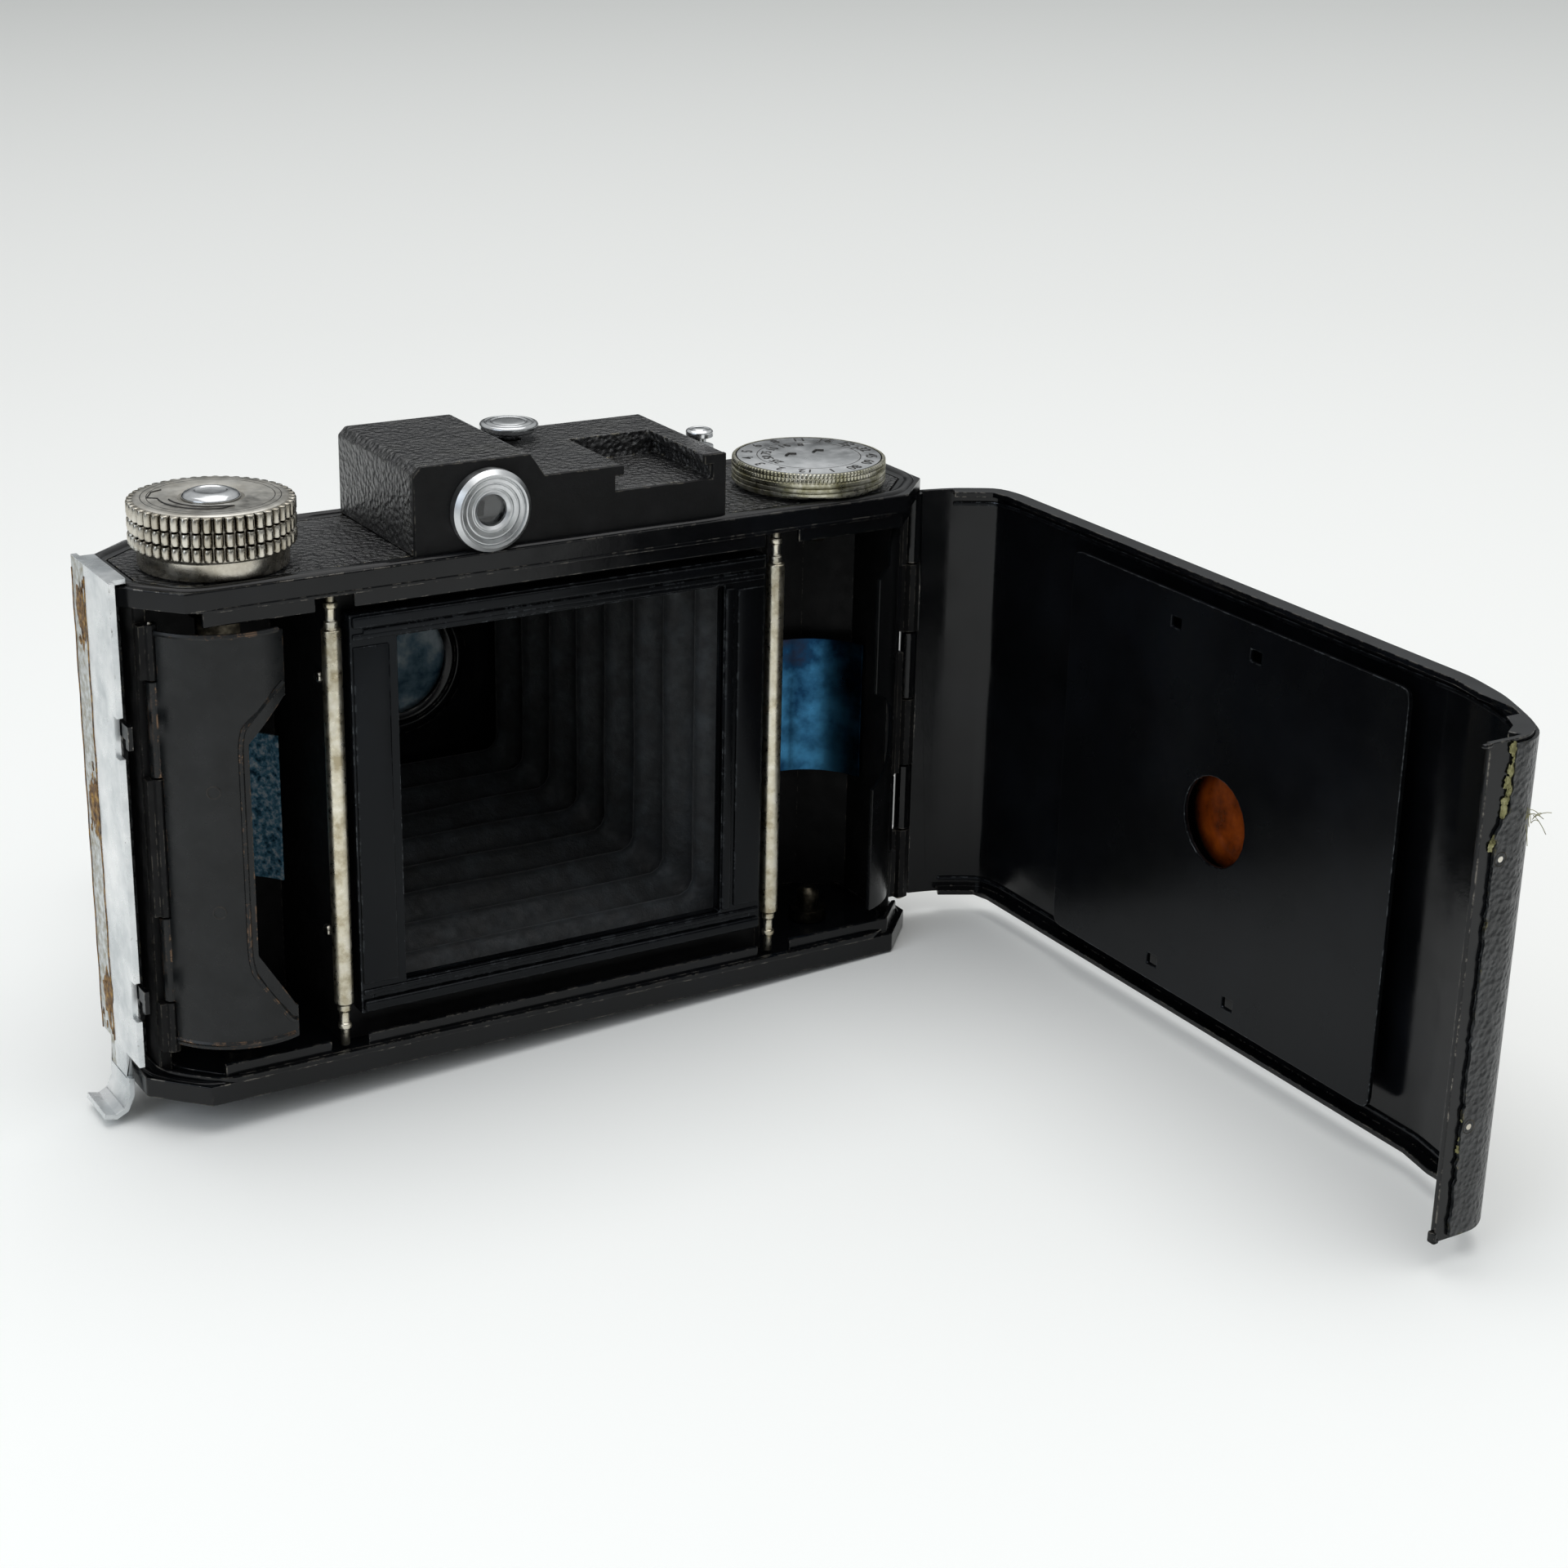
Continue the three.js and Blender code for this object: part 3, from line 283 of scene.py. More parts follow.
# Doped black cloth of the bellows: nearly matt, with painted shade darkening its valleys, dust caught in the weave.
CLOTH = surface(
    "bellows_cloth_doped", ("#0b0d0f", "#15191c", "#282d31"), 4, (0.5, 0.75),
    grain=(("noise", 0.35, 0.08), ("noise", 2.5, 0.3)), grime_and_shade=("#030304", 5.0), **{"Sheen Weight": 0.12})
# Celluloid of the film window: clear deep orange with scuffs, and painted shade darkening it towards its edges.
AMBER = surface(
    "celluloid_amber", ("#4e1f05", "#6e2f09", "#8c4110"), 5, (0.08, 0.22),
    grain=(("noise", 2.2, 0.03),), grime_and_shade=("#120703", 5.5), **{"Coat Weight": 0.4})
# Ground and polished optical glass.
GLASS = surface(
    "optical_glass_ground", ("#e8eef2", "#f2f6f8", "#ffffff"), 20, (0.0, 0.02), IOR=1.62,
    **{"Transmission Weight": 1.0})
# Bloomed lens glass seen from inside, coloured with a painted reflection of the room, blue-grey over a dark stop.
GLASS_PAINTED_REFLECTION = surface(
    "optical_glass_painted_reflection", ("#2b4a5c", "#6a8594", "#b4c2c9"), 6, (0.03, 0.12),
    **{"Coat Weight": 1.0, "Specular IOR Level": 1.0})
# Black wax rubbed into engraved lines: a soft-edged, faintly dusty black.
ENGRAVED = surface("engraving_wax_black", ("#0c0b09", "#15130f", "#241f18"), 1.5, (0.5, 0.7))
# Hide glue left on the strip: rough amber-brown scabs.
GLUE = surface(
    "hide_glue_old", ("#3b2410", "#77562a", "#b08a45"), 1.1, (0.45, 0.8), grain=(("noise", 0.7, 0.3),))
# Frayed canvas backing: dry olive threads.
FIBRE = surface("canvas_fibre_frayed", ("#5d5a38", "#858257", "#a8a57c"), 1.0, (0.8, 0.95))

FINISH = {
    "black_enamel": ENAMEL, "grained_enamel": GRAINED, "leatherette": LEATHER, "nickel": NICKEL,
    "roller_nickel": ROLLER_NICKEL, "aluminium": ALUMINIUM, "chrome": CHROME, "blued_steel": BLUED,
    "brass": BRASS, "bellows_cloth": CLOTH, "amber_window": AMBER, "lens_glass": GLASS}


# ---- making pieces ----
def piece(name, bm, body, slot, finish=None, stands_for=(), soft_angle=32):
    """Turns a bmesh in mm into a smooth-shaded piece in metres that rides on a body."""
    bmesh.ops.remove_doubles(bm, verts=bm.verts, dist=0.002)
    bmesh.ops.scale(bm, vec=(MM, MM, MM), verts=bm.verts)
    for face in bm.faces:
        face.smooth = True
    for edge in bm.edges:
        edge.smooth = edge.is_manifold and edge.calc_face_angle(0) < math.radians(soft_angle)
    mesh = bpy.data.meshes.new(name)
    bm.to_mesh(mesh)
    bm.free()
    mesh.materials.append(finish or FINISH[slot])
    made = bpy.data.objects.new(name, mesh)
    scene.collection.objects.link(made)
    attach(made, body)
    if stands_for:
        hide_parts(*stands_for)
    return made


def outward(bm):
    """Joins doubled corners, then turns every face outwards."""
    bmesh.ops.remove_doubles(bm, verts=bm.verts, dist=0.002)
    bmesh.ops.recalc_face_normals(bm, faces=bm.faces)
    return bm


def merged(first, *others):
    """One bmesh that holds them all."""
    for other in others:
        spare = bpy.data.meshes.new("spare")
        other.to_mesh(spare)
        other.free()
        first.from_mesh(spare)
        bpy.data.meshes.remove(spare)
    return first


def rounded(path, radius, steps=3, closed=False):
    """The same path with its corners eased into curves."""
    points = [Vector(p) for p in path]
    count = len(points)
    eased = []
    for i, corner in enumerate(points):
        if not closed and i in (0, count - 1):
            eased.append(tuple(corner))
            continue
        before = points[i - 1] - corner
        after = points[(i + 1) % count] - corner
        reach = min(radius, before.length * 0.45, after.length * 0.45)
        start = corner + before.normalized() * reach
        end = corner + after.normalized() * reach
        for k in range(steps + 1):
            t = k / steps
            eased.append(tuple(start * (1 - t) ** 2 + corner * 2 * t * (1 - t) + end * t * t))
    return eased


def lathe(profile, axis="z", at=(0, 0, 0), steps=64, closed=False):
    """Spins a (radius, place along the axis) profile right round."""
    bm = bmesh.new()
    chain = [bm.verts.new((max(r, 0), 0, a)) for r, a in profile]
    edges = [bm.edges.new(pair) for pair in zip(chain, chain[1:])]
    if closed:
        edges.append(bm.edges.new((chain[-1], chain[0])))
    bmesh.ops.spin(
        bm, geom=chain + edges, cent=(0, 0, 0), axis=(0, 0, 1), dvec=(0, 0, 0), angle=2 * math.pi,
        steps=steps, use_merge=True, use_normal_flip=False, use_duplicate=False)
    outward(bm)
    bmesh.ops.transform(bm, matrix=Matrix.Translation(at) @ TURN[axis], verts=bm.verts)
    return bm


def block(x, y, z, edge=0.2, segments=2):
    """A block between two corners with eased edges."""
    size = Vector((x[1] - x[0], y[1] - y[0], z[1] - z[0]))
    middle = Vector((x[0] + x[1], y[0] + y[1], z[0] + z[1])) / 2
    bm = bmesh.new()
    bmesh.ops.create_cube(bm, size=1, matrix=Matrix.Translation(middle) @ Matrix.Diagonal((*size, 1)))
    if edge:
        bmesh.ops.bevel(
            bm, geom=bm.edges[:], offset=min(edge, min(size) * 0.45), segments=segments, profile=0.5,
            affect="EDGES", material=-1, clamp_overlap=True)
    return bm


def corners(geom):
    """The vertices among an operator's results."""
    return [g for g in geom if isinstance(g, bmesh.types.BMVert)]


def strip(path, thickness, z, edge=0.0):
    """Sheet metal bent along a path in X and Y, between two heights.

    Its thickness goes to the path's right.
    """
    bm = bmesh.new()
    chain = [bm.verts.new((x, y, z[0])) for x, y in path]
    edges = [bm.edges.new(pair) for pair in zip(chain, chain[1:])]
    drawn = bmesh.ops.extrude_edge_only(bm, edges=edges)["geom"]
    bmesh.ops.translate(bm, vec=(0, 0, z[1] - z[0]), verts=corners(drawn))
    bm.normal_update()
    bmesh.ops.solidify(bm, geom=bm.faces[:], thickness=thickness)
    outward(bm)
    if edge:
        sharp = [e for e in bm.edges if e.is_manifold and e.calc_face_angle(0) > 1]
        bmesh.ops.bevel(
            bm, geom=sharp, offset=edge, segments=2, profile=0.5, affect="EDGES", material=-1,
            clamp_overlap=True)
    return bm


def wire(points, radius, closed=False, sides=1):
    """A thin round line through the points."""
    data = bpy.data.curves.new("line", "CURVE")
    data.dimensions = "3D"
    data.bevel_depth = radius
    data.bevel_resolution = sides
    data.use_fill_caps = True
    spline = data.splines.new("POLY")
    spline.points.add(len(points) - 1)
    for point, at in zip(spline.points, points):
        point.co = (*at, 1)
    spline.use_cyclic_u = closed
    return from_curve(data)


def from_curve(data):
    """A curve or a text as a bmesh, with the curve itself thrown away."""
    holder = bpy.data.objects.new("line", data)
    bm = bmesh.new()
    bm.from_mesh(holder.to_mesh())
    holder.to_mesh_clear()
    bpy.data.objects.remove(holder)
    return outward(bm)


def seated(bm, at, facing):
    """Moves a shape drawn up Z from the origin to stand on a face."""
    turn = Vector((0, 0, 1)).rotation_difference(Vector(facing)).to_matrix().to_4x4()
    bmesh.ops.transform(bm, matrix=Matrix.Translation(at) @ turn, verts=bm.verts)
    return bm


def rivet(at, facing, radius=1.0, height=0.35):
    """A low domed rivet head standing on a face."""
    profile = [(0, -0.15), (radius, -0.15), (radius, height * 0.2), (radius * 0.85, height * 0.65),
               (radius * 0.5, height * 0.93), (0, height)]
    return seated(lathe(profile, steps=20), at, facing)


def knurl(bm, beyond, depth, count, above=0.0):
    """Cuts fine grooves into the part of a rim that lies beyond a radius and above a height."""
    for v in bm.verts:
        r = math.hypot(v.co.x, v.co.y)
        if r > beyond and v.co.z > above:
            cut = depth * (0.5 - 0.5 * math.cos(count * math.atan2(v.co.y, v.co.x)))
            v.co.x *= (r - cut) / r
            v.co.y *= (r - cut) / r


def refined(node, edge, finish=None, angle=24, segments=2, seam=None):
    """A copy of a frame node with its triangles merged into faces and its sharp edges eased.

    seam: (point, direction) of a plane along which its faces are cut in two.
    """
    bm = bmesh.new()
    bm.from_mesh(frame["nodes"][node].data)
    bmesh.ops.scale(bm, vec=(1 / MM,) * 3, verts=bm.verts)
    bmesh.ops.remove_doubles(bm, verts=bm.verts, dist=0.004)
    bmesh.ops.dissolve_limit(
        bm, angle_limit=math.radians(0.6), use_dissolve_boundaries=False, verts=bm.verts, edges=bm.edges,
        delimit=set())
    if seam:
        bmesh.ops.bisect_plane(
            bm, geom=bm.verts[:] + bm.edges[:] + bm.faces[:], plane_co=seam[0], plane_no=seam[1])
    sharp = [e for e in bm.edges if e.is_manifold and e.calc_face_angle(0) > math.radians(angle)]
    if edge and sharp:
        bmesh.ops.bevel(
            bm, geom=sharp, offset=edge, segments=segments, profile=0.5, affect="EDGES", material=-1,
            clamp_overlap=False, loop_slide=True)
    made = piece(node + "_finished", bm, BODY_OF[node], SLOT_OF[node], finish, (node,))
    flat = made.modifiers.new("flat_faces", "WEIGHTED_NORMAL")
    flat.mode = "FACE_AREA"
    flat.keep_sharp = True
    return made


# ---- pieces that keep the frame's shape, with eased edges ----
EDGES = {
    "bottom_plate": 0.3, "top_plate": 0.3, "top_inlay": 0.12, "tripod_bush": 0.2,
    "front_covering_left": 0.15, "front_covering_right": 0.15, "film_gate": 0.2, "left_cradle_cover": 0.15,
    "right_cradle_cover": 0.15, "left_leaf_spring": 0.1, "right_leaf_spring": 0.1, "finder_housing": 0.35,
    "finder_back_plate": 0.15, "door_shell": 0.15, "pressure_plate": 0.25, "pressure_spring": 0.08,
    "bed_plate": 0.15, "bed_covering": 0.15, "left_strut": 0.12, "right_strut": 0.12, "lens_panel": 0.3,
    "cocking_lever": 0.15, "aperture_lever": 0.15, "shutter_lever": 0.15}
DRESSED = {
    "film_gate": ENAMEL_DUSTY, "pressure_plate": ENAMEL_DUSTY, "left_cradle_cover": ENAMEL_RUBBED,
    "right_cradle_cover": ENAMEL_EDGE_WORN_AND_LIT, "left_leaf_spring": BLUED_CRAZED_AND_LIT, "finder_back_plate": ENAMEL_MATT}
for node, edge in EDGES.items():
    refined(node, edge, DRESSED.get(node))
frame["nodes"]["body_shell"].material_slots[0].material = ENAMEL_MATT
frame["nodes"]["latch_slide"].material_slots[0].material = ENAMEL

# ---- turned pieces ----
# node: axis, a point on it, steps, closed profile or not, (radius, place) profile
TURNED = {
    "bed_hinge_rod": ("x", (0, 17.6, 3.2), 16, False, [(0, -33.6), (0.55, -33.5), (0.55, 33.5), (0, 33.6)]),
    "eyepiece_glass": ("y", EYEPIECE, 40, False, [
        (0, -15.0), (2, -14.95), (3.2, -14.8), (3.2, -14.0), (0, -14.0)]),
    "release_socket": ("z", RELEASE, 40, True, [
        (1.2, 80.75), (2.8, 80.75), (2.8, 85), (2.3, 85.4), (2.3, 88.6), (1.2, 88.6)]),
    "release_plunger": ("z", RELEASE, 40, False, [
        (0, 82.6), (1.1, 82.6), (1.1, 90), (2.2, 90), (2.2, 90.9), (1.8, 91.25), (1.5, 91.1), (1.1, 91.1),
        (0.9, 91.3), (0, 91.3)]),
    "bed_release_button": ("z", CATCH, 56, False, [
        (0, 86.5), (1.5, 86.5), (1.5, 92.1), (4.2, 92.1), (4.65, 92.5), (4.65, 93.2), (4.4, 93.5),
        (3.9, 93.6), (3.75, 93.5), (3.6, 93.5), (3.45, 93.62), (2.9, 93.66), (2.75, 93.56), (2.6, 93.56), (2.45, 93.66),
        (1.6, 93.7), (0, 93.7)]),
    "knob_screw": ("z", (-SPOOL_X, SPOOL_Y, 0), 48, False, [
        (0, 90.35), (4.3, 90.35), (4.3, 91.0), (3.9, 91.4), (3.0, 91.75), (2.4, 91.8), (2.2, 91.6),
        (1.0, 91.55), (0, 91.55)]),
    "left_spool_pin": ("z", (-SPOOL_X, SPOOL_Y, 0), 32, False, SPOOL_PIN),
    "right_spool_pin": ("z", (SPOOL_X, SPOOL_Y, 0), 32, False, SPOOL_PIN),
    "right_top_pin": ("z", (SPOOL_X, SPOOL_Y, 0), 32, False, [
        (0, 71), (1.2, 71), (1.9, 72), (1.9, 74.8), (3.2, 74.8), (3.2, 77.3), (0, 77.3)]),
    "rear_lens_cell": ("y", LENS, 64, True, [
        (9.4, 51.5), (10.6, 51.2), (11.2, 51.6), (11.6, 51.2), (13.2, 51.3), (13.5, 51.8), (13.5, 54.9),
        (11.8, 54.9), (11.8, 56.4), (10.3, 56.4), (10.3, 52.3), (9.4, 51.9)]),
    "rear_lens_glass": ("y", LENS, 64, False, [
        (0, 52.2), (2.5, 52.25), (5, 52.45), (7, 52.75), (9, 53.15), (10.1, 53.45), (10.1, 55.3), (5, 55.7),
        (0, 55.8)]),
    "aperture_blades": ("y", LENS, 40, True, [(4, 59.6), (9.3, 59.6), (9.3, 60), (4, 60)]),
    "shutter_blades": ("y", LENS, 40, False, [(0, 61.6), (9.3, 61.6), (9.3, 62), (0, 62)]),
    "window_glass": ("x", (0, -74.3, WINDOW_Z), 56, False, [
        (0, 83.85), (4, 83.8), (7, 83.75), (8.4, 83.7), (8.4, 84.3), (0, 84.3)]),
    "front_lens_glass": ("y", LENS, 64, False, [
        (0, 66.4), (8.5, 66.6), (8.5, 69), (7, 69.5), (4, 70.2), (0, 70.5)]),
}
for node, (axis, at, steps, closed, profile) in TURNED.items():
    shape = lathe(rounded(profile, 0.12, 2, closed), axis, at, steps, closed)
    finish = NICKEL_DULL_AND_SHADED if node.endswith("_pin") else GLASS_PAINTED_REFLECTION if node == "rear_lens_glass" else None
    piece(node + "_turned", shape, BODY_OF[node], SLOT_OF[node], finish, (node,))

for node in ("left_roller", "right_roller"):
    low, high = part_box(node)
    x, y = (low.x + high.x) / 2 / MM, (low.y + high.y) / 2 / MM
    profile = [
        (0, 3.9), (0.7, 3.9), (0.7, 6.7), (1.05, 6.8), (1.05, 7.6), (0.75, 7.8), (0.75, 9.6), (1.05, 9.8),
        (1.05, 10.8), (1.5, 11.1), (1.5, 71.3), (1.05, 71.6), (1.05, 72.6), (0.75, 72.8), (0.75, 74.6),
        (1.05, 74.8), (1.05, 75.6), (0.7, 75.7), (0.7, 77.1), (0, 77.1)]
    shape = lathe(rounded(profile, 0.15, 2), "z", (x, y, 0), 40)
    piece(node + "_turned", shape, node, "roller_nickel", None, (node,))
for node in ("left_cradle_pin", "right_cradle_pin", "door_hinge_pin"):
    low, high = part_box(node)
    x, y, r = (low.x + high.x) / 2 / MM, (low.y + high.y) / 2 / MM, (high.x - low.x) / 2 / MM
    z0, z1 = low.z / MM, high.z / MM
    profile = [(0, z0), (r * 0.7, z0), (r, z0 + 0.2), (r, z1 - 0.2), (r * 0.7, z1), (0, z1)]
    piece(node + "_turned", lathe(profile, "z", (x, y, 0), 24), BODY_OF[node], SLOT_OF[node], None, (node,))

# ---- eyepiece: turned aluminium with stepped rings ----
rings = [
    (2.45, -15.9), (2.9, -16.25), (3.1, -16.25), (3.2, -16.1), (3.35, -16.1), (3.45, -16.3), (4.0, -16.4),
    (4.1, -16.2), (4.3, -16.2), (4.4, -16.45), (4.9, -16.6), (5.0, -16.45), (5.15, -16.45), (5.3, -16.85),
    (5.6, -16.9), (6.3, -16.2), (6.3, -14.7), (4.7, -14.7), (4.7, -12.8), (3.35, -12.8), (3.35, -15.3),
    (2.45, -15.3)]
shape = lathe(rings, "y", EYEPIECE, 72, True)
piece("eyepiece_turned", shape, "camera_body", "aluminium", None, ("eyepiece_ring",))

# ---- finder glass ----
low, high = [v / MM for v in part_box("finder_front_glass")]
pane = block((low.x, high.x), (low.y, high.y), (low.z, high.z), 0.15)
piece("finder_pane", pane, "camera_body", "lens_glass", None, ("finder_front_glass",))


# ---- winding knob ----
def fluted(radius, depth, count, z, at, edge=0.45, steps=8):
    """A wheel rim cut into beads by narrow grooves, rounded over at its two edges."""
    root = radius - depth - 0.35
    profile = [(0, z[0]), (root, z[0]), (radius - edge, z[0]), (radius - edge * 0.3, z[0] + edge * 0.3),
               (radius, z[0] + edge), (radius, z[1] - edge), (radius - edge * 0.3, z[1] - edge * 0.3),
               (radius - edge, z[1]), (root, z[1]), (0, z[1])]
    bm = lathe(profile, steps=count * steps)
    for v in bm.verts:
        r = math.hypot(v.co.x, v.co.y)
        if r > root + 0.1:
            share = (r - root) / (radius - root)
            cut = depth * share * (1 - abs(math.sin(count * math.atan2(v.co.y, v.co.x) / 2))) ** 1.4
            v.co.x *= (r - cut) / r
            v.co.y *= (r - cut) / r
    bmesh.ops.translate(bm, vec=(at[0], at[1], 0), verts=bm.verts)
    return bm


knob_at = (-SPOOL_X, SPOOL_Y, 0)
core = lathe(
    rounded([(0, 81), (11, 81), (11.05, 83.7), (11.3, 84), (11.3, 90.2), (0, 90.2)], 0.2, 2),
    "z", knob_at, 96)
rows = [fluted(12.2, 1.05, 46, z, knob_at) for z in ((84.1, 86.15), (86.3, 88.35))]
crown = fluted(12.2, 1.05, 46, (88.5, 90.7), knob_at, 0.3)
lid = lathe(
    [(4.4, 90.3), (11.2, 90.3), (11.2, 90.72), (10.95, 90.86), (10.6, 90.9), (5.2, 90.9), (4.7, 90.6),
     (4.4, 90.5)], "z", knob_at, 96, True)
piece("knob_body", merged(core, *rows, crown), "winding_knob", "nickel", None, ("winding_knob",))
piece("knob_lid", lid, "winding_knob", "nickel", NICKEL_FACE)
for name, r in (("outer", 10.1), ("inner", 9.2)):
    line = lathe([(r - 0.11, 90.88), (r, 90.93), (r + 0.11, 90.88)], "z", knob_at, 96, True)
    piece(f"knob_line_{name}", line, "winding_knob", "nickel", ENGRAVED)


def bent(radius, degrees, steps, z, centre):
    """Points on an arc above a plate."""
    angles = [math.radians(degrees[0] + (degrees[1] - degrees[0]) * i / steps) for i in range(steps + 1)]
    return [(centre[0] + radius * math.cos(a), centre[1] + radius * math.sin(a), z) for a in angles]


KNOB_TOP = 90.92
outer = bent(7.6, (168, 262), 24, KNOB_TOP, knob_at)
inner = bent(6.2, (176, 258), 24, KNOB_TOP, knob_at)
tip = bent(6.9, (278, 279), 1, KNOB_TOP, knob_at)[:1]
hook = [(knob_at[0] + x, knob_at[1] + y, KNOB_TOP) for x, y in ((-8.7, 2.6), (-7.2, 5.2), (-5.4, 5.9))]
arrow = [*hook[::-1], *outer, *tip, *inner[::-1]]
piece("knob_arrow", wire(arrow, 0.13), "winding_knob", "nickel", ENGRAVED)

shaft = lathe(
    rounded([(0, 73.2), (4.4, 73.2), (4.4, 76.8), (2.2, 76.9), (2.2, 90), (0, 90)], 0.3, 2), "z", knob_at, 40)
key = block((-SPOOL_X - 3.4, -SPOOL_X + 3.4), (SPOOL_Y - 0.6, SPOOL_Y + 0.6), (69.6, 74.4), 0.25)
piece("winding_key", merged(shaft, key), "winding_knob", "nickel", NICKEL_DULL_AND_SHADED, ("winding_shaft",))

# ---- exposure dial ----
dial_at = (DIAL_X, SPOOL_Y, 0)
rim = [(0, 81.2), (12.1, 81.2), (12.3, 81.4)]
for z in (81.6, 82.4, 83.2, 84.0):
    rim += [(12.35, z), (12.55, z + 0.12), (12.55, z + 0.55), (12.35, z + 0.68)]
rim += [(12.55, 84.85), (12.5, 85.3), (12.3, 85.42), (11.95, 85.42), (11.9, 84.8), (0, 84.8)]
edge_teeth = lathe(rim, "z", (0, 0, 0), 600)
knurl(edge_teeth, 12.45, 0.2, 120, 83.9)
bmesh.ops.translate(edge_teeth, vec=dial_at, verts=edge_teeth.verts)
spindle = lathe([(0, 78.6), (2, 78.6), (2, 81.3), (0, 81.3)], "z", dial_at, 24)
piece(
    "dial_rim", merged(edge_teeth, spindle), "exposure_dial", "nickel", NICKEL_VERDIGRIS, ("exposure_dial",))
face = lathe(rounded([(0, 84.85), (11.75, 84.85), (11.75, 85.45), (0, 85.45)], 0.1, 2), "z", dial_at, 120)
piece("dial_plate", face, "exposure_dial", "aluminium", None, ("dial_face",))
line = lathe([(8.35, 85.44), (8.45, 85.48), (8.55, 85.44)], "z", dial_at, 96, True)
piece("dial_circle", line, "exposure_dial", "aluminium", ENGRAVED)


def numeral(text, size, radius, degrees, z, centre):
    """A number laid flat, its foot towards the centre of the dial."""
    data = bpy.data.curves.new("number", "FONT")
    data.body = text
    data.size = size
    data.align_x = "CENTER"
    data.align_y = "CENTER"
    data.extrude = 0.02
    data.offset = 0.01
    bm = from_curve(data)
    turn = Matrix.Rotation(math.radians(degrees - 90), 4, "Z")
    spot = bent(radius, (degrees, degrees + 1), 1, z, centre)[0]
    bmesh.ops.transform(bm, matrix=Matrix.Translation(spot) @ turn, verts=bm.verts)
    return bm


outer_numbers = ["2", "3", "4", "5", "6", "8", "11", "16", "22", "32", "45", "60", "80", "1", "12"]
inner_numbers = ["25", "50", "75", "10", "15", "8"]
marks = [numeral(t, 2.6, 10.1, 212 - i * 24, 85.47, dial_at) for i, t in enumerate(outer_numbers)]
marks += [numeral(t, 2.3, 6.9, 190 - i * 24, 85.47, dial_at) for i, t in enumerate(inner_numbers)]
for k in range(2):
    degrees = 18 - k * 14
    ends = [bent(r, (degrees, degrees + 1), 1, 85.45, dial_at)[0] for r in (8.4, 10.0)]
    marks.append(wire(ends, 0.1))
piece("dial_numbers", merged(*marks), "exposure_dial", "aluminium", ENGRAVED)
slots = [wire([(DIAL_X + dx - 1.0, SPOOL_Y + 1.2, 85.44), (DIAL_X + dx, SPOOL_Y + 2.1, 85.44),
               (DIAL_X + dx + 1.1, SPOOL_Y + 1.4, 85.44)], 0.28) for dx in (-2.6, 2.6)]
piece("dial_key_slots", merged(*slots), "exposure_dial", "aluminium", ENGRAVED)

# ---- bellows ----
def rounded_square(half, corner, angle):
    """How far a rounded square's side lies from its middle in one direction."""
    c, s = sorted((abs(math.cos(angle)), abs(math.sin(angle))), reverse=True)
    if half * s / c <= half - corner:
        return half / c
    middle = (half - corner) * (c + s)
    return middle + math.sqrt(max(middle ** 2 - 2 * (half - corner) ** 2 + corner ** 2, 0))


pleats = BELLOWS["pleats"] * 2
length = BELLOWS["front"] - BELLOWS["rear"]
wave = []
for i in range(pleats + 1):
    share = i / pleats
    half = BELLOWS["rear_half"] + (BELLOWS["front_half"] - BELLOWS["rear_half"]) * share
    wave.append((half - (i % 2) * 4.2, BELLOWS["rear"] + length * share))
outer_wave = rounded(wave, 2.1, 4)
inner_wave = [(half - 0.7, y) for half, y in outer_wave][::-1]
folds = lathe(outer_wave + inner_wave, "z", (0, 0, 0), 144, True)
for v in folds.verts:
    half = math.hypot(v.co.x, v.co.y)
    angle = math.atan2(v.co.y, v.co.x)
    reach = rounded_square(half, 2.6, angle)
    slack = math.sin(math.pi * max(0, min(1, (v.co.z - BELLOWS["rear"]) / length)))
    reach += 0.5 * slack * noise.noise((v.co.x * 0.06, v.co.y * 0.06, v.co.z * 0.25))
    v.co.x, v.co.y = reach * math.cos(angle), reach * math.sin(angle)
    v.co.z += 0.45 * slack * noise.noise((v.co.x * 0.05, v.co.y * 0.05, v.co.z * 0.1 + 7))
bmesh.ops.transform(folds, matrix=Matrix.Translation(LENS) @ TURN["y"], verts=folds.verts)
bellows = piece("bellows_folds", folds, "camera_body", "bellows_cloth", None, ("bellows",), 60)
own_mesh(bellows)

# ---- lens group ----
shutter = lathe(rounded([
    (9.5, 56.5), (19.5, 56.5), (19.5, 57.2), (19.1, 57.3), (19.1, 64.4), (19.5, 64.5), (19.5, 65.5),
    (9.5, 65.5)], 0.25, 2, True), "y", LENS, 96, True)
piece("shutter_case", shutter, "lens_standard", "black_enamel", None, ("shutter_housing",))
speed = lathe(
    rounded([(12.5, 65.6), (18.9, 65.6), (18.9, 66.9), (18.3, 67.4), (12.5, 67.4)], 0.2, 2, True),
    "y", LENS, 96, True)
piece("speed_ring_turned", speed, "speed_ring", "aluminium", None, ("speed_ring",))
speeds = ["B", "2", "5", "10", "25", "50", "100", "200"]
plate_marks = []
faced = Matrix.Rotation(math.pi / 2, 4, "X") @ Matrix.Diagonal((-1, 1, 1, 1))
for i, text in enumerate(speeds):
    mark = numeral(text, 2.2, 15.8, 160 - i * 20, 0, (0, 0, 0))
    bmesh.ops.transform(mark, matrix=Matrix.Translation((0, 67.42, GATE_Z)) @ faced, verts=mark.verts)
    plate_marks.append(outward(mark))
piece("speed_numbers", merged(*plate_marks), "speed_ring", "aluminium", ENGRAVED)
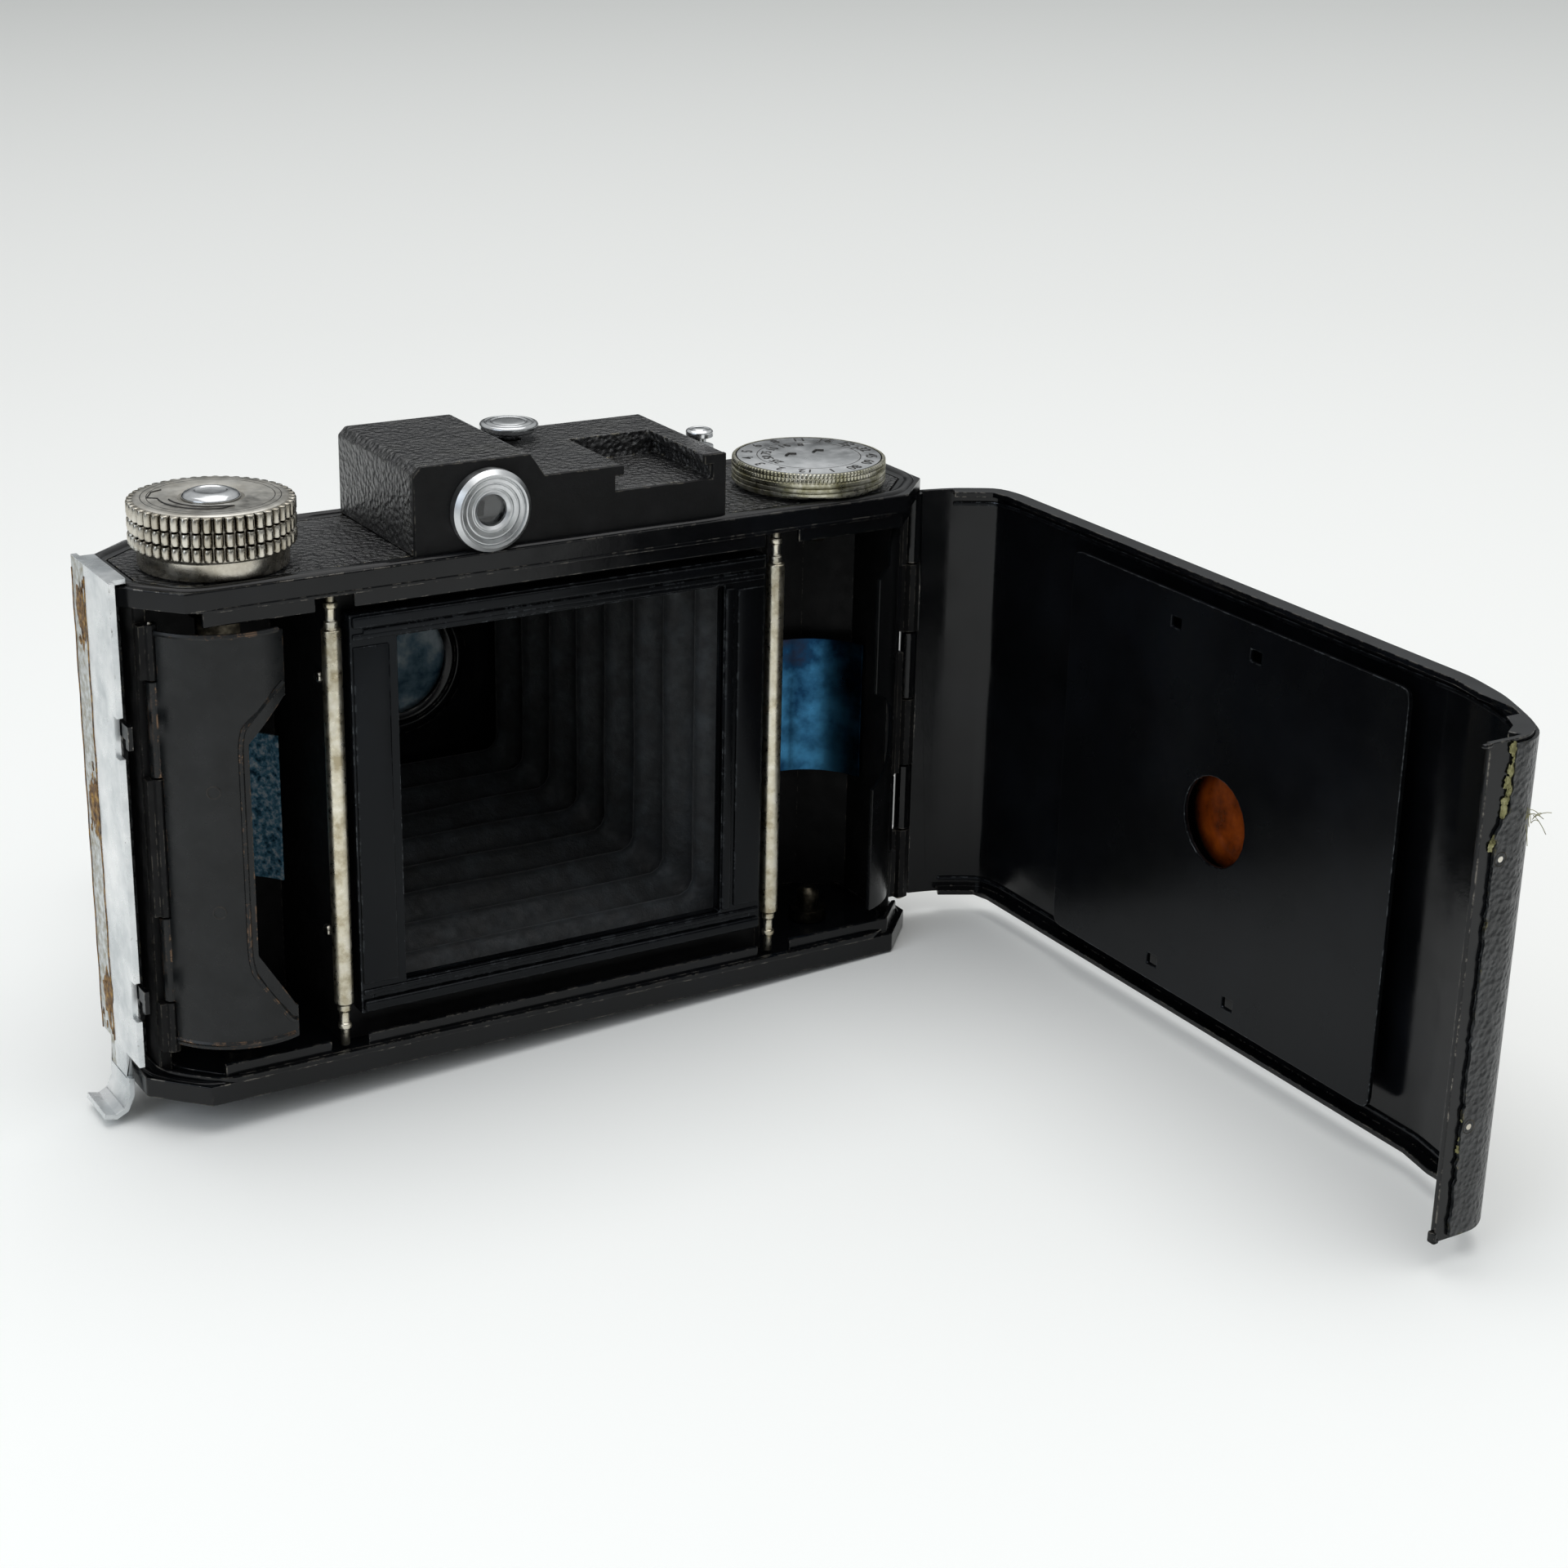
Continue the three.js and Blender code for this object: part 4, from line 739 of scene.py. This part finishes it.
grip = lathe(
    [(8.7, 65.8), (11.2, 65.8), (11.75, 65.8), (12.1, 66.15), (12.1, 71.6), (11.75, 72), (11.2, 72),
     (9.6, 71.9), (8.7, 70.6)], "z", (0, 0, 0), 300, True)
knurl(grip, 11.5, 0.45, 60)
bmesh.ops.transform(grip, matrix=Matrix.Translation(LENS) @ TURN["y"], verts=grip.verts)
piece("focus_grip", grip, "focus_ring", "nickel", None, ("focus_ring",))
worn_line = block((20.7, 21.05), (54.7, 55.05), (24, 47), 0.05)
piece("panel_worn_edge", worn_line, "lens_standard", "black_enamel", NICKEL)

# ---- film gate: side bands, stepped rails and the opening's return ----
GATE_BACK = FILM_Y + 0.2
bands = [
    block((x0, x1), (FILM_Y - 0.35, GATE_BACK), (13.9, 68.4), 0.3, 3)
    for x0, x1 in ((-35.2, -29.4), (30.4, 35.2))]
bands.append(block((28.1, 29.7), (FILM_Y - 0.5, GATE_BACK), (13.6, 68.8), 0.45, 4))
steps = [
    block((-35.2, 35.2), (FILM_Y - y, GATE_BACK), (GATE_Z + a, GATE_Z + b), edge, 4)
    for y, a, b, edge in (
        (0.4, 28.3, 29.2, 0.35), (0.6, 30.1, 31.9, 0.5), (0.4, -29.2, -28.3, 0.35),
        (0.75, -31.9, -30.1, 0.6))]
wall = GATE_HALF + 0.9
returns = [
    block((-wall, wall), (FILM_Y + 0.3, FILM_Y + 2.4), (GATE_Z + a, GATE_Z + b), 0.2)
    for a, b in ((-wall, -GATE_HALF), (GATE_HALF, wall))]
returns += [
    block((a, b), (FILM_Y + 0.3, FILM_Y + 2.4), (GATE_Z - wall, GATE_Z + wall), 0.2)
    for a, b in ((-wall, -GATE_HALF), (GATE_HALF, wall))]
piece("gate_rails", merged(*bands, *steps), "camera_body", "black_enamel", ENAMEL_DUSTY)
piece("gate_returns", merged(*returns), "camera_body", "black_enamel", ENAMEL_DUSTY)

# ---- plates: a rolled bead round the top, low ribs round the chambers ----
OUTLINE = [(61, -16.2), (68.5, -8.3), (68.5, 7.1), (59.5, 14.4), (50, 16)]
OUTLINE += [(-x, y) for x, y in OUTLINE[::-1]]
bead_path = rounded([(x * 0.981, y * 0.92) for x, y in OUTLINE], 3, 4, True)
bead = wire([(x, y, HEIGHT - 0.72) for x, y in bead_path], 1.15, True, 4)
piece("top_bead", bead, "camera_body", "black_enamel")
foot_path = rounded([(x * 0.987, y * 0.945) for x, y in OUTLINE], 3, 4, True)
foot = wire([(x, y, 2.55) for x, y in foot_path], 0.85, True, 4)
piece("base_bead", foot, "camera_body", "black_enamel")
ribs = []
for shrink, width in ((0.958, 0.8), (0.93, 0.6)):
    path = rounded([(x * shrink, y * shrink) for x, y in OUTLINE[6:] + OUTLINE[:4]], 3, 4)
    ribs += [strip(path, width, z, 0.15) for z in ((3.1, 4.05), (77.3, 77.95))]
piece("plate_ribs", merged(*ribs), "camera_body", "black_enamel")

# ---- rivets and ribs in the chambers ----
heads = [rivet((-37.82, -7.6, 62.5), (-1, 0, 0), 1.1, 0.8), rivet((-37.82, -7.4, 21), (-1, 0, 0), 1.1, 0.8),
         rivet((61.12, 8.19, 70), (-0.63, -0.777, 0), 0.9, 0.6)]
piece("chamber_rivets", merged(*heads), "camera_body", "nickel")


def on_cradle(degrees, z, radius=13.72):
    """A point on the left spool cover and the direction it faces."""
    a = math.radians(degrees)
    return (-SPOOL_X + radius * math.cos(a), SPOOL_Y + radius * math.sin(a), z), (math.cos(a), math.sin(a), 0)


def ring_mark(at, facing, radius):
    """The fine raised line left round a rivet that was filed flush."""
    ring = lathe([(radius - 0.16, -0.04), (radius, 0.03), (radius + 0.16, -0.04)], steps=28, closed=True)
    return seated(ring, at, facing)


marks = [ring_mark(*on_cradle(243, z), 0.95) for z in (50, 31)]
piece("cradle_rivets", merged(*marks), "left_cradle", "black_enamel", ENGRAVED)
# The rib keeps a steady margin from the edge of the finger recess.
rib_path = [(291, 65.4), (286.5, 64.8), (262.5, 59.5), (260.4, 57), (260.4, 23.5), (262.5, 20.6),
            (286.5, 11.9), (291, 11.4)]
rib = wire([on_cradle(a, z, 13.55)[0] for a, z in rounded(rib_path, 4, 5)], 0.5)
piece("cradle_rib", rib, "left_cradle", "black_enamel", ENAMEL_RUBBED)
hoops = [wire([on_cradle(a, z, 13.5)[0] for a in range(209, 292, 4)], 0.42) for z in (9.4, 73.6)]
piece("cradle_hoops", merged(*hoops), "left_cradle", "black_enamel", ENAMEL_RUBBED)


# ---- door: drawn shut, like the frame's, and swung open about its hinge ----
def swung(bm):
    """Moves a piece drawn on the shut door to where the open door holds it."""
    hinge = Matrix.Translation(HINGE)
    turn = hinge @ Matrix.Rotation(math.pi / 2, 4, "Z") @ hinge.inverted()
    bmesh.ops.transform(bm, matrix=turn, verts=bm.verts)
    return bm


DOOR_PATH = [(-67.6, -2.6), (-67.6, -9.6), (-65.6, -12.6), (-60.8, -15.4), (-54, -18.2), (-46, -19.8),
             (61, -19.8), (65.6, -18.6), (69.2, -11.8), (70.9, -5.2)]
inside = rounded(DOOR_PATH[1:9], 2.2, 3)[::-1]
pressed = [strip(inside, 1.35, z, 0.2) for z in ((6.3, 7.0), (74.4, 75.1))]
piece("door_pressed_ribs", swung(merged(*pressed)), "back_door", "black_enamel", ENAMEL_DUSTY)

# The covering ends in a ragged line on the flange and has torn away at the top.
SKIN_ROWS, SKIN_TALL, RAGGED_Y = 90, 71.8, -4.9
skin_path = rounded([(x - 0.08 * (x < -60), y - 0.08 * (x > -66)) for x, y in DOOR_PATH[:8]], 2.2, 3)
skin_path[0] = (skin_path[0][0], RAGGED_Y)
at_window = next(i for i, (x, _) in enumerate(skin_path) if x > 0)
skin_path[at_window:at_window] = [(0.8 * k, -19.88) for k in range(-12, 13)]
skin = bmesh.new()
chain = [skin.verts.new((x, y, 4.8)) for x, y in skin_path]
lines = [skin.edges.new(pair) for pair in zip(chain, chain[1:])]
for _ in range(SKIN_ROWS):
    grown = bmesh.ops.extrude_edge_only(skin, edges=lines)["geom"]
    bmesh.ops.translate(skin, vec=(0, 0, SKIN_TALL / SKIN_ROWS), verts=corners(grown))
    lines = [g for g in grown if isinstance(g, bmesh.types.BMEdge)
             and abs(g.verts[0].co.z - g.verts[1].co.z) < 0.01]
for v in skin.verts:
    if abs(v.co.y - RAGGED_Y) < 0.01 and v.co.x < -60:
        torn = max(0, min(1, (v.co.z - 64.5) / 3))
        coarse, fine = noise.noise((0, 0, v.co.z * 0.9)), noise.noise((5, 0, v.co.z * 2.7))
        v.co.y -= 1.9 * torn + 0.45 * coarse + 0.3 * fine
# The film window's round hole: squares inside it go, and the ring of corners they leave moves onto it.
middles = [(f, f.calc_center_median()) for f in skin.faces]
covered = [f for f, at in middles if math.hypot(at.x, at.z - WINDOW_Z) < WINDOW_R]
bmesh.ops.delete(skin, geom=covered, context="FACES")
for v in skin.verts:
    reach = math.hypot(v.co.x, v.co.z - WINDOW_Z)
    if v.is_boundary and reach < WINDOW_R + 2:
        v.co.x *= WINDOW_R / reach
        v.co.z = WINDOW_Z + (v.co.z - WINDOW_Z) * WINDOW_R / reach
skin.normal_update()
bmesh.ops.solidify(skin, geom=skin.faces[:], thickness=0.5)
skin = swung(outward(skin))
piece("door_leather", skin, "back_door", "leatherette", None, ("door_covering",))

marks = [ring_mark((73.8, -4.35, z), (0, -1, 0), 0.85) for z in (74, 53.3, 31.1, 10)]
piece("hinge_strip_rivets", merged(*marks), "back_door", "black_enamel")
end_rivets = [rivet((71.6, FLANGE_Y + 0.04, z), (0, -1, 0), 0.5, 0.075) for z in (60.7, 21.5)]
piece("flange_rivets", merged(*end_rivets), "back_door", "nickel", NICKEL)
marks = [ring_mark((71.6, FLANGE_Y, z), (0, -1, 0), 1.0) for z in (60.7, 21.5)]
piece("flange_rivet_rims", merged(*marks), "back_door", "nickel", NICKEL_DULL_AND_SHADED)
hooks = [
    block((67.0, 68.6), (-142.0, -141.2), (76.55, 77.15), 0.25),
    block((67.55, 68.6), (-142.4, -141.0), (4.2, 4.9), 0.25),
    block((67.55, 68.2), (-142.4, -141.0), (4.2, 5.9), 0.25)]
piece("flange_hooks", merged(*hooks), "back_door", "black_enamel")


def crumb(at, size, seed, roughness=0.45):
    """A small irregular lump."""
    bm = bmesh.new()
    bmesh.ops.create_icosphere(bm, subdivisions=3, radius=1)
    for v in bm.verts:
        v.co *= 1 + roughness * noise.fractal(v.co * 1.6 + Vector((seed, seed * 3.1, 0)), 0.7, 2.1, 3)
    bmesh.ops.scale(bm, vec=size, verts=bm.verts)
    bmesh.ops.translate(bm, vec=at, verts=bm.verts)
    return bm


# Old glue and frayed canvas where the covering has come away.
random.seed(11)
fray = [crumb((72.3 + random.uniform(-0.9, 0.4), -142.1, z), (0.5, 0.26, random.uniform(0.5, 1.1)), k, 0.7)
        for k, z in enumerate((76, 74.4, 73, 71.2, 69.9, 68.6, 67.4))]
fray += [crumb((70.4 + random.uniform(-0.5, 0.5), -142.1, z), (0.45, 0.26, 0.7), 20 + k, 0.7)
         for k, z in enumerate((63.6, 62.7, 22.8, 19.8, 18.2))]
piece("frayed_canvas", merged(*fray), "back_door", "leatherette", FIBRE)
hairs = []
for k in range(12):
    z = random.uniform(64.5, 68)
    x = random.uniform(75.5, 77)
    dx, dz = random.uniform(-0.1, 0.75), random.uniform(-0.5, 0.5)
    sway = [(x + dx * i, -142.2 - 0.07 * i, z + dz * i - 0.07 * i * i) for i in range(5)]
    hairs.append(wire(sway, 0.05))
piece("frayed_fibres", merged(*hairs), "back_door", "leatherette", FIBRE)

# ---- latch strip: one half smooth, one half bared where the covering was torn off ----
strip_piece = refined("latch_bar", 0.12, BARE_STRIP, seam=((0, 1.0, 0), (0, 1, 0)))
strip_piece.data.materials.append(TORN_STRIP)
for face in strip_piece.data.polygons:
    if face.center.y > 0.001 and 0.006 < face.center.z < 0.0815:
        face.material_index = 1
seams = [wire([(-70.0, y + 0.12 * math.sin(z * 0.7), z) for z in range(6, 81, 2)], 0.14) for y in (1.0, 6.45)]
piece("latch_seams", merged(*seams), "latch", "chrome", GLUE)
glue = []
for k, (z, tall) in enumerate(((74.6, 3.6), (43.6, 3.0), (12.9, 3.2))):
    glue.append(crumb((-70.0, 2.9, z), (0.16, 1.7, tall * 1.3), 40 + k, 0.8))
    for i in range(5):
        fleck = (-70.0, random.uniform(1.4, 5.6), z + random.uniform(-7, 7))
        glue.append(crumb(fleck, (0.1, 0.3, 0.6), 50 + 7 * k + i, 0.8))
piece("glue_patches", merged(*glue), "latch", "chrome", GLUE)

# ---- stage ----
tilt = math.atan2(5.6, 140.5)  # the camera leans on its latch tab at one end and its base at the other
floor_mesh = bmesh.new()
bmesh.ops.create_grid(floor_mesh, x_segments=1, y_segments=1, size=6)
lean = Matrix.Translation((0.0685, 0, 0)) @ Matrix.Rotation(-tilt, 4, "Y")
bmesh.ops.transform(floor_mesh, matrix=lean, verts=floor_mesh.verts)
mesh = bpy.data.meshes.new("paper_sweep")
floor_mesh.to_mesh(mesh)
floor_mesh.free()
floor = bpy.data.objects.new("paper_sweep", mesh)
scene.collection.objects.link(floor)
paper = bpy.data.materials.new("paper_matt_white")
paper.use_nodes = True
tree = paper.node_tree
tree.nodes.clear()
place = add(tree, "TexCoord").outputs["Object"]
# The paper's colour darkens with distance from a spot near the camera: a painted falloff of the light across the floor.
far = add(tree, "VectorMath", {"operation": "DISTANCE", 1: (0, -0.2, 0)}, {0: place})
painted_falloff = add(tree, "MapRange", {"From Min": 0.2, "From Max": 2.2}, {"Value": far.outputs["Value"]})
stops = [(0.0, "#f8f9f7"), (0.25, "#e6e7e5"), (0.85, "#c9cbc9")]
shade = add(tree, "ValToRGB", {"stops": stops}, {"Fac": painted_falloff.outputs["Result"]})
fine = add(tree, "TexNoise", {"Scale": 900.0, "Detail": 4.0}, {"Vector": place})
tooth = add(tree, "Bump", {"Distance": 0.00002, "Strength": 0.4}, {"Height": fine.outputs["Fac"]})
matt = add(tree, "BsdfPrincipled", {"Roughness": 0.85, "Specular IOR Level": 0.2},
           {"Base Color": shade.outputs["Color"], "Normal": tooth.outputs["Normal"]})
add(tree, "OutputMaterial", {}, {"Surface": matt.outputs["BSDF"]})
mesh.materials.append(paper)

world = bpy.data.worlds.new("studio")
scene.world = world
world.use_nodes = True
sky = world.node_tree
sky.nodes.clear()
toward = add(sky, "TexCoord").outputs["Generated"]
height = add(sky, "SeparateXYZ", {}, {0: toward}).outputs["Z"]
stops = [(0.0, "#15171a"), (0.14, "#2c2f32"), (0.38, "#d8dbdc"), (1.0, "#ffffff")]
glow = add(sky, "ValToRGB", {"stops": stops}, {"Fac": height})
soft = add(sky, "Background", {"Strength": 0.77}, {"Color": glow.outputs["Color"]})
add(sky, "OutputWorld", {}, {"Surface": soft.outputs["Background"]})


def softbox(name, place, target, size, power, colour="#ffffff"):
    """A large square lamp aimed at a point."""
    lamp = bpy.data.lights.new(name, "AREA")
    lamp.shape = "SQUARE"
    lamp.size = size
    lamp.energy = power
    lamp.color = lin(colour)[:3]
    holder = bpy.data.objects.new(name, lamp)
    scene.collection.objects.link(holder)
    holder.location = place
    holder.rotation_mode = "QUATERNION"
    holder.rotation_quaternion = (Vector(target) - Vector(place)).to_track_quat("-Z", "Y")


softbox("overhead_softbox", (0.1, 0.1, 1.8), (0.05, 0.1, 0), 2.0, 18)
softbox("left_softbox", (-1.2, -0.35, 0.55), (0, -0.03, 0.04), 0.8, 3.2, "#e6f1ff")
